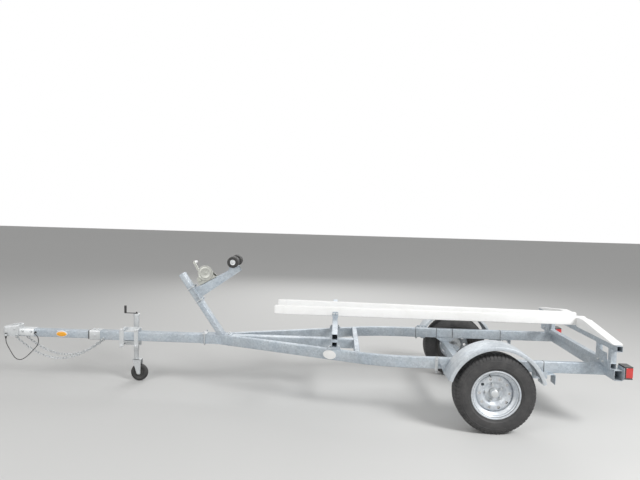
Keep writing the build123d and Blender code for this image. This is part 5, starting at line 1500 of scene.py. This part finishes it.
def box_outline(xs, zs):
    """The four corners of an upright rectangle."""
    return [(xs[0], zs[0]), (xs[1], zs[0]), (xs[1], zs[1]), (xs[0], zs[1])]


bm, nuts = bmesh.new(), bmesh.new()
plate(bm, round_corners(box_outline(CLAMP_X, CLAMP_Z), 0.012), side_view(0, MOUNT_OUT, 0), 0.008)
ring_of(bm, [(0.0121, 0), (PIVOT_R, 0), (PIVOT_R, PIVOT_END - MOUNT_OUT - 0.0015),
             (PIVOT_R - 0.0015, PIVOT_END - MOUNT_OUT), (0.0121, PIVOT_END - MOUNT_OUT)],
        frame_at(at(JACK_X, MOUNT_OUT, FRAME_MID), ACROSS), 40)
weld(bm, [at(JACK_X + (PIVOT_R + 0.001) * cos(2 * pi * k / 20), MOUNT_OUT + 0.0005,
             FRAME_MID + (PIVOT_R + 0.001) * sin(2 * pi * k / 20)) for k in range(21)], 0.0035)
for xs in CLAMP_BARS:
    plate(bm, round_corners(box_outline(xs, CLAMP_Z), 0.008), side_view(0, -TONGUE / 2, 0), 0.006)
for z in (TONGUE_TOP, FRAME_BOTTOM - 0.0055):
    level = frame_at(at(sum(CLAMP_PLATE_X) / 2, 0, z), UP, ALONG)
    half = (CLAMP_PLATE_X[1] - CLAMP_PLATE_X[0]) / 2
    plate(bm, rectangle(half, 0.044), level, 0.0055)
for xs in CLAMP_BARS:
    for z in BOLT_Z:
        middle = sum(xs) / 2
        rod(nuts, [at(middle, -0.048, z), at(middle, 0.050, z)], 0.0058, 12)
        nut(nuts, at(middle, -0.051, z), -ACROSS, 0.018, 0.0065, 0.0115, 0.0015)
        nut(nuts, at(middle, MOUNT_OUT, z), ACROSS, 0.018, 0.0060, 0.0115, 0)
add_piece("jack_mount_plates", bm, bright_zinc, "chassis", "bright_zinc", "jack_mount")
add_piece("jack_mount_bolts", nuts, bright_zinc, "chassis", "bright_zinc")

bm = bmesh.new()
length = JACK_Z[1] - JACK_Z[0]
stand = frame_at(at(JACK_X, JACK_Y, JACK_Z[0]), UP)
ring_of(bm, [(JACK_R - JACK_WALL, 0), (JACK_R - 0.0008, 0), (JACK_R, 0.0008), (JACK_R, 0.006),
             (JACK_R + 0.0012, 0.0075), (JACK_R + 0.0012, 0.012), (JACK_R, 0.0135), (JACK_R, length),
             (JACK_R - JACK_WALL, length)], stand, 48)
lathe(bm, [(0, length), (JACK_R - 0.002, length), (CAP_R - 0.001, length + 0.0005), (CAP_R, length + 0.0015),
           (CAP_R, length + 0.021), (CAP_R - 0.004, length + 0.026), (0.012, length + 0.0278),
           (0, length + 0.0278)], stand, 48)
pivot = frame_at(at(JACK_X, PIVOT_IN, FRAME_MID), ACROSS)
disc_z = PIVOT_END + 0.0003 - PIVOT_IN
pivot_top = JACK_Y - PIVOT_IN - 0.018
lathe(bm, [(0, 0), (0.0108, 0), (0.0118, 0.001), (0.0118, disc_z), (DISC_R - 0.001, disc_z),
           (DISC_R, disc_z + 0.001), (DISC_R, disc_z + 0.007), (JACK_R - 0.002, disc_z + 0.014),
           (JACK_R - 0.002, pivot_top), (0, pivot_top)], pivot, 48)
for turn in range(8):
    lean = 2 * pi * turn / 8
    spot = at(JACK_X + 0.026 * cos(lean), PIVOT_END + 0.0073, FRAME_MID + 0.026 * sin(lean))
    lathe(bm, [(0, 0), (0.0030, 0), (0.0028, 0.0008), (0, 0.0008)], frame_at(spot, ACROSS), 12)
add_piece("jack_tube_turned", bm, bright_zinc, "jack_body", "bright_zinc", "jack_tube")

black_paint = rubber_finish("black_paint", (0.045, 0.046, 0.048, 1), (0.02, 0.02, 0.021, 1), ROAD_FILM, 0.25,
                            0.4)
bm = bmesh.new()
arm_edge = around((JACK_X, JACK_Y), 0.012, (JACK_X - CRANK_REACH, JACK_Y), 0.012)
plate(bm, arm_edge, frame_at(at(0, 0, CRANK_Z), UP, ALONG), 0.006, 0.0015)
lathe(bm, grip_profile(0.0128, 0.0755, 6), frame_at(at(JACK_X - CRANK_REACH, JACK_Y, CRANK_Z + 0.006), UP),
      24)
nut(bm, at(JACK_X, JACK_Y, CRANK_Z + 0.006), UP, 0.014, 0.007, 0.008, 0.002)
add_piece("jack_crank_pressed", bm, black_paint, "jack_body", "black_paint", "jack_crank")

bm = bmesh.new()
length = LEG_Z[1] - LEG_Z[0]
stem_room = 0.024
ring_of(bm, [(0.0092, 0), (LEG_R - 0.0015, 0), (LEG_R, 0.0015), (LEG_R, length), (LEG_R - 0.003, length),
             (LEG_R - 0.003, stem_room), (0.0092, stem_room)], frame_at(at(JACK_X, JACK_Y, LEG_Z[0]), UP), 40)
add_piece("jack_leg_drawn", bm, bright_zinc, "jack_leg", "bright_zinc", "jack_leg")

bm = bmesh.new()
roof = frame_at(at(sum(FORK_X) / 2, JACK_Y, FORK_Z[0]), UP, ALONG)
half = (FORK_X[1] - FORK_X[0]) / 2
plate(bm, round_corners(rectangle(half, FORK_OUT), 0.008), roof, FORK_Z[1] - FORK_Z[0], 0.0015)
cheek = round_corners([(FORK_X[0], FORK_Z[1] - 0.001), (FORK_X[1], FORK_Z[1] - 0.001),
                       (WHEEL_X + 0.018, 0.072), (WHEEL_X - 0.018, 0.072)], 0.014)
for y in (JACK_Y + FORK_OUT, JACK_Y - FORK_OUT + CHEEK_T):
    plate(bm, cheek, side_view(0, y, 0), CHEEK_T)
lathe(bm, [(0, 0), (0.0088, 0), (0.0088, 0.024), (0.0078, 0.0250), (0, 0.0250)],
      frame_at(at(JACK_X, JACK_Y, FORK_Z[1] - 0.001), UP), 24)
lathe(bm, [(0, -FORK_OUT + 0.001), (0.0068, -FORK_OUT + 0.001), (0.0068, FORK_OUT - 0.001),
           (0, FORK_OUT - 0.001)], frame_at(at(WHEEL_X, JACK_Y, SMALL_WHEEL_R), ACROSS), 24)
for side in (-1, 1):
    nut(bm, at(WHEEL_X, JACK_Y + side * FORK_OUT, SMALL_WHEEL_R), ACROSS * side, 0.014, 0.007, 0.009, 0)
add_piece("jack_fork_folded", bm, bright_zinc, "jack_castor", "bright_zinc", "jack_fork")

bm = bmesh.new()
half = SMALL_WHEEL_W / 2
profile = [(0.0072, -half), (0.0160, -half), (0.0170, -half + 0.004), (0.0480, -half + 0.008),
           (0.0520, -half + 0.004), (0.0620, -half + 0.001), (0.0740, -half), (0.0830, -half + 0.003),
           (0.0885, -half + 0.009), (SMALL_WHEEL_R, -0.006)]
ring_of(bm, profile + [(r, -h) for r, h in profile[::-1]],
        frame_at(at(WHEEL_X, JACK_Y, SMALL_WHEEL_R), ACROSS), 64)
add_piece("jack_wheel_moulded", bm, roller_rubber, "jack_wheel", "roller_rubber", "jack_wheel")

# Coupler: a pressed head that closes over the tow ball, with its latch, and a channel bolted on the
# front tube. A small clip on its side parks the lamp plug.
BALL_X = -4.740
BALL_Z = 0.520
NOSE_R = 0.050
HEAD_REAR_X = -4.610
HEAD_BOTTOM = 0.484
HEAD_TOP = 0.606
HEAD_FRONT_TOP = 0.576
HEAD_WALL = 0.006
CHANNEL_REAR_X = -4.455
COUPLER_BOLTS_X = (-4.575, -4.485)
COUPLER_BOLTS_Z = 0.540
HEAD_PIN = (-4.655, 0.0495, 0.560)
SOCKET_R = 0.0262
PLUG_X = -4.736
PLUG_Y = -0.062
PLUG_Z = 0.466
PLUG_R = 0.011

head_plan = [Vector((HEAD_REAR_X - BALL_X, -NOSE_R)), Vector((HEAD_REAR_X - BALL_X, NOSE_R))]
head_plan += [Vector((-NOSE_R * sin(pi * k / 28), NOSE_R * cos(pi * k / 28))) for k in range(29)]
head_slope = (HEAD_TOP - HEAD_FRONT_TOP) / (HEAD_REAR_X - BALL_X + NOSE_R)
bm = bmesh.new()
rings = []
for depth, drop, low in ((0.022, HEAD_WALL, False), (0.012, HEAD_WALL + 0.002, False),
                         (HEAD_WALL, HEAD_WALL + 0.010, False), (HEAD_WALL, None, True), (0.0, None, True),
                         (0.0, 0.014, False), (0.0016, 0.0065, False), (0.0055, 0.0020, False),
                         (0.0120, 0.0, False)):
    ring = []
    for p in inset(head_plan, depth) if depth else head_plan:
        top = HEAD_FRONT_TOP + head_slope * (p.x + NOSE_R)
        ring.append(at(BALL_X + p.x, p.y, HEAD_BOTTOM if low else top - drop))
    rings.append(ring)
skin(bm, rings)
ring_of(bm, [(SOCKET_R * cos(radians(t)), SOCKET_R * sin(radians(t))) for t in range(-40, 81, 12)]
        + [((SOCKET_R + 0.005) * cos(radians(t)), (SOCKET_R + 0.005) * sin(radians(t)))
           for t in range(80, -41, -12)], frame_at(at(BALL_X, 0, BALL_Z), UP), 36)
channel = [(-0.044, 0.494), (-0.0382, 0.494), (-0.0382, 0.562), (0.0382, 0.562), (0.0382, 0.494),
           (0.044, 0.494), (0.044, 0.561), (0.041, 0.566), (0.037, 0.568), (-0.037, 0.568), (-0.041, 0.566),
           (-0.044, 0.561)]
plate(bm, channel, frame_at(at(HEAD_REAR_X - 0.006, 0, 0), ALONG, ACROSS),
      CHANNEL_REAR_X - HEAD_REAR_X + 0.006)
clip = frame_at(at(PLUG_X, PLUG_Y, 0.490), UP)
ring_of(bm, [(PLUG_R + 0.0004, 0), (PLUG_R + 0.0042, 0), (PLUG_R + 0.0042, 0.022), (PLUG_R + 0.0004, 0.022)],
        clip, 28)
lever_edge = round_corners([(-4.705, 0.590), (-4.618, 0.603), (-4.606, 0.606), (-4.600, 0.614),
                            (-4.622, 0.6145), (-4.690, 0.604), (-4.706, 0.600)], 0.006)
plate(bm, lever_edge, side_view(0, 0.013, 0), 0.026, 0.002)
add_piece("coupler_pressed", bm, bright_zinc, "chassis", "bright_zinc", "coupler")
bm = bmesh.new()
for side in (-1, 1):
    for x in COUPLER_BOLTS_X:
        nut(bm, at(x, side * 0.044, COUPLER_BOLTS_Z), ACROSS * side, 0.018, 0.010, 0.012, 0.004)
    nut(bm, at(HEAD_PIN[0], side * HEAD_PIN[1], HEAD_PIN[2]), ACROSS * side, 0.014, 0.006, 0.008, 0.002)
add_piece("coupler_bolts", bm, bright_zinc, "chassis", "bright_zinc")

# Safety chains: thirty-five welded links a side, from a cross bolt through the tongue to a stud on the
# coupler, and a black ring round the splice ahead of the bolt, which is a painted shadow of the collar.
LINK_PITCH = 0.030
LINK_BAR = 0.0065
LINK_HALF_L = 0.0215
LINK_HALF_W = 0.013
LINK_PLAY = 0.0006
LINKS = 35
CHAIN_Y = 0.068
STUD_R = 0.0038
STUD_END = 0.088
CHAIN_REAR = (-3.730, 0.494)
CHAIN_FRONT = (-4.630, 0.496)


def chain_height(x, sag):
    """The height of the hanging chain's centre line."""
    part = (x - CHAIN_FRONT[0]) / (CHAIN_REAR[0] - CHAIN_FRONT[0])
    return CHAIN_FRONT[1] + (CHAIN_REAR[1] - CHAIN_FRONT[1]) * part - 4 * sag * part * (1 - part)


def chain_places(sag):
    """Points a link apart along the hanging curve, and where the chain would end."""
    end_run = LINK_PITCH / 2 - STUD_R - LINK_PLAY
    x = CHAIN_REAR[0]
    places = []
    for step in [end_run] + [LINK_PITCH - LINK_PLAY] * (LINKS - 1) + [end_run]:
        slope = (chain_height(x + 0.001, sag) - chain_height(x - 0.001, sag)) / 0.002
        for _ in range(4):
            guess = x - step / sqrt(1 + slope ** 2)
            slope = (chain_height(x, sag) - chain_height(guess, sag)) / (x - guess)
        x -= step / sqrt(1 + slope ** 2)
        places.append((x, chain_height(x, sag)))
    return places


low_sag, high_sag = 0.030, 0.474
for _ in range(35):
    sag = (low_sag + high_sag) / 2
    if chain_places(sag)[-1][0] > CHAIN_FRONT[0]:
        high_sag = sag
    else:
        low_sag = sag
places = chain_places(sag)[:LINKS]
bend_r = LINK_HALF_W - LINK_BAR / 2
straight = LINK_HALF_L - LINK_HALF_W
link_line = [(straight + bend_r * sin(pi * k / 8), bend_r * cos(pi * k / 8)) for k in range(9)]
link_line += [(-a, -b) for a, b in link_line]
bm = bmesh.new()
for side in (-1, 1):
    for number, (x, z) in enumerate(places):
        slope = (chain_height(x + 0.001, sag) - chain_height(x - 0.001, sag)) / 0.002
        ahead = Vector((1, 0, slope)).normalized()
        flat = ACROSS if number % 2 == 0 else ahead.cross(ACROSS)
        up = flat.cross(ahead)
        rings = []
        for k, (a, b) in enumerate(link_line):
            before_a, before_b = link_line[k - 1]
            after_a, after_b = link_line[(k + 1) % len(link_line)]
            out = Vector((after_b - before_b, before_a - after_a)).normalized()
            centre = at(x, side * CHAIN_Y, z) + ahead * a + up * b
            rings.append([centre + (ahead * out.x + up * out.y) * LINK_BAR / 2 * cos(2 * pi * j / 8)
                          + flat * LINK_BAR / 2 * sin(2 * pi * j / 8) for j in range(8)])
        skin(bm, rings, closed_path=True)
chain_zinc = zinc_finish("chain_zinc", (0.62, 0.64, 0.65, 1), (0.30, 0.32, 0.33, 1), 200, 0.5, 0.9, dust=0.1)
add_piece("safety_chains_welded", bm, chain_zinc, "chassis", "bright_zinc", "safety_chains")
bm = bmesh.new()
for (x, z), start in ((CHAIN_REAR, TONGUE / 2), (CHAIN_FRONT, NOSE_R)):
    for side in (-1, 1):
        lathe(bm, [(0, 0), (STUD_R, 0), (STUD_R, STUD_END - start - 0.001),
                   (STUD_R - 0.001, STUD_END - start), (0, STUD_END - start)],
              frame_at(at(x, side * start, z), ACROSS * side), 16)
        nut(bm, at(x, side * (STUD_END - 0.0065), z), ACROSS * side, 0.016, 0.006, 0.008, 0, False)
        nut(bm, at(x, side * start, z), ACROSS * side, 0.014, 0.005, 0.008, 0)
add_piece("chain_anchors_bolted", bm, bright_zinc, "chassis", "bright_zinc", "chain_anchors")
# Painted shadow: a black ring just ahead of the collar, where the collar's shadow falls on the front tube.
bm = bmesh.new()
tube(bm, [at(COLLAR_ENDS[0] - 0.012, 0, FRAME_MID), at(COLLAR_ENDS[0] + 0.001, 0, FRAME_MID)], ACROSS,
     NECK + 0.016, NECK + 0.016, 0.0078, 0.012)
add_piece("splice_shadow_ring", bm, roller_rubber, "chassis", "roller_rubber")

# Lamp harness: one black cord that leaves the front tube through a rubber grommet, hangs in a loop below
# the coupler and ends in a plug parked in the coupler's clip.
HARNESS_D = 0.008
HARNESS_ROUTE = ((-4.440, -0.038, 0.530), (-4.440, -0.072, 0.530), (-4.412, -0.096, 0.528),
                 (-4.382, -0.098, 0.502), (-4.372, -0.097, 0.455), (-4.392, -0.096, 0.405),
                 (-4.440, -0.095, 0.352), (-4.500, -0.095, 0.291), (-4.562, -0.095, 0.252),
                 (-4.618, -0.095, 0.268), (-4.656, -0.094, 0.322), (-4.690, -0.087, 0.374),
                 (-4.720, -0.073, 0.408), (-4.736, -0.062, 0.436), (-4.736, -0.062, 0.466))

cord_black = rubber_finish("cord_black", (0.040, 0.040, 0.042, 1), (0.018, 0.018, 0.019, 1), ROAD_FILM, 0.25,
                           0.5, 80)
line = bpy.data.curves.new("lamp_harness_cord", "CURVE")
line.dimensions = "3D"
line.bevel_depth = HARNESS_D / 2
line.bevel_resolution = 4
line.resolution_u = 14
spline = line.splines.new("NURBS")
spline.points.add(len(HARNESS_ROUTE) - 1)
for point, (x, y, z) in zip(spline.points, HARNESS_ROUTE):
    point.co = (*at(x, y, z), 1)
spline.order_u = 3
spline.use_endpoint_u = True
line.materials.append(cord_black)
cord = bpy.data.objects.new("lamp_harness_cord", line)
bpy.context.scene.collection.objects.link(cord)
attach(cord, "chassis")
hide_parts("lamp_harness")
bm = bmesh.new()
lathe(bm, [(0, -0.002), (0.0105, -0.002), (0.0110, 0.001), (0.0090, 0.004), (0.0062, 0.010), (0.0048, 0.017),
           (0, 0.017)], frame_at(at(*HARNESS_ROUTE[0]), -ACROSS), 28)
grommet = add_piece("harness_grommet", bm, roller_rubber, "chassis", "roller_rubber")
bm = bmesh.new()
lathe(bm, [(0, -0.006), (0.0050, -0.006), (0.0060, 0.0), (0.0085, 0.003), (0.0095, 0.010), (0.0095, 0.018),
           (0.0108, 0.021), (0.0108, 0.046), (0.0100, 0.0475), (0.0100, 0.0505), (0.0085, 0.0520),
           (0, 0.0520)], frame_at(at(PLUG_X, PLUG_Y, PLUG_Z), UP), 28)
plug = add_piece("harness_plug_moulded", bm, roller_rubber, "chassis", "roller_rubber", "harness_plug")

# Side markers: oval lamps of moulded amber plastic in white plastic rims, one screwed on each side of
# the front tube.
MARKER_X = -4.165
MARKER_L = 0.118
MARKER_H = 0.062
MARKER_T = 0.016


def lens_finish(name, light, dark, rib):
    """Moulded coloured plastic, ribbed inside and faintly dusty."""
    finish, tree, shader = new_finish(name, roughness=0.16)
    shader.inputs["Coat Weight"].default_value = 0.3
    link = tree.links.new
    place = add_node(tree, "ShaderNodeTexCoord")
    ribs = add_node(tree, "ShaderNodeTexWave", {"Scale": rib, "Distortion": 0.0}, bands_direction="X")
    link(place.outputs["Object"], ribs.inputs["Vector"])
    shade = add_node(tree, "ShaderNodeMix", {"A": dark, "B": light}, data_type="RGBA")
    link(ribs.outputs["Fac"], shade.inputs["Factor"])
    dusty = add_node(tree, "ShaderNodeGroup", node_tree=road_dust)
    dusty.inputs["Amount"].default_value = 0.06
    mix = add_node(tree, "ShaderNodeMix", {"B": (0.6, 0.5, 0.42, 1)}, data_type="RGBA")
    link(shade.outputs["Result"], mix.inputs["A"])
    link(dusty.outputs["Mask"], mix.inputs["Factor"])
    link(mix.outputs["Result"], shader.inputs["Base Color"])
    return finish


amber_lens = lens_finish("amber_lens", (0.93, 0.45, 0.02, 1), (0.80, 0.32, 0.01, 1), 60)
lens, rims = bmesh.new(), bmesh.new()
for side in (-1, 1):
    face = frame_at(at(MARKER_X, side * NECK / 2, FRAME_MID), ACROSS * side, ALONG)
    oval = [Vector((MARKER_L / 2 * cos(2 * pi * k / 56), MARKER_H / 2 * sin(2 * pi * k / 56)))
            for k in range(56)]
    for bm, steps in ((rims, ((0, 0), (0, 0.005), (0.0015, 0.0075), (0.005, 0.0085), (0.0085, 0.0065))),
                      (lens, ((0.0070, 0.002), (0.0072, 0.0100), (0.0095, 0.0128), (0.0140, 0.0148),
                              (0.0200, MARKER_T - 0.0003)))):
        skin(bm, [[face @ Vector((p.x * (1 - depth / MARKER_L * 2), p.y * (1 - depth / MARKER_H * 2),
                                  height)) for p in oval] for depth, height in steps])
add_piece("side_marker_lenses", lens, amber_lens, "chassis", "amber_lens", "side_markers")
add_piece("side_marker_rims", rims, plate_white, "chassis", "white_cover")

# Tail lamps: red plastic lenses in black moulded housings, on small galvanised plates that are fixed
# behind the rear member's ends.
LAMP_X = (1.100, 1.174)
LAMP_Y = (0.660, 0.770)
LAMP_Z = (0.492, 0.602)
LAMP_PLATE_Z = (0.486, 0.590)
LAMP_EDGE = 0.010

red_lens = lens_finish("red_lens", (0.62, 0.035, 0.03, 1), (0.45, 0.02, 0.02, 1), 45)
housings, lens, plates = bmesh.new(), bmesh.new(), bmesh.new()
for side in (-1, 1):
    ends = sorted((side * LAMP_Y[0], side * LAMP_Y[1]))
    shell = [(LAMP_X[0], LAMP_Z[0]), (LAMP_X[1] - 0.004, LAMP_Z[0]),
             (LAMP_X[1] - 0.004, LAMP_Z[0] + LAMP_EDGE), (LAMP_X[0] + 0.014, LAMP_Z[0] + LAMP_EDGE),
             (LAMP_X[0] + 0.014, LAMP_Z[1] - LAMP_EDGE), (LAMP_X[1] - 0.004, LAMP_Z[1] - LAMP_EDGE),
             (LAMP_X[1] - 0.004, LAMP_Z[1]), (LAMP_X[0], LAMP_Z[1])]
    plate(housings, shell, side_view(0, ends[1], 0), ends[1] - ends[0], 0.0015)
    face = frame_at(at(LAMP_X[0] + 0.012, side * sum(LAMP_Y) / 2, sum(LAMP_Z) / 2), ALONG, ACROSS)
    wide, tall = (LAMP_Y[1] - LAMP_Y[0]) / 2 - 0.001, (LAMP_Z[1] - LAMP_Z[0]) / 2 - LAMP_EDGE - 0.0006
    edge = round_corners(rectangle(wide, tall), 0.006)
    deep = LAMP_X[1] - LAMP_X[0] - 0.012
    skin(lens, [[face @ Vector((p.x, p.y, height)) for p in (inset(edge, depth) if depth else edge)]
                for depth, height in ((0, 0), (0, deep - 0.008), (0.0012, deep - 0.0045),
                                      (0.004, deep - 0.0015), (0.008, deep))])
    back = frame_at(at(LAMP_X[0] - 0.004, side * sum(LAMP_Y) / 2, sum(LAMP_PLATE_Z) / 2), ALONG, ACROSS)
    tall = (LAMP_PLATE_Z[1] - LAMP_PLATE_Z[0]) / 2
    wide += 0.001
    plate(plates, round_corners(rectangle(wide, tall), 0.006), back, 0.004)
add_piece("tail_lamp_housings", housings, black_paint, "chassis", "black_paint")
add_piece("tail_lamp_lenses", lens, red_lens, "chassis", "red_lens", "tail_lamps")
add_piece("lamp_brackets_cut", plates, galvanised, "chassis", "galvanised", "lamp_brackets")
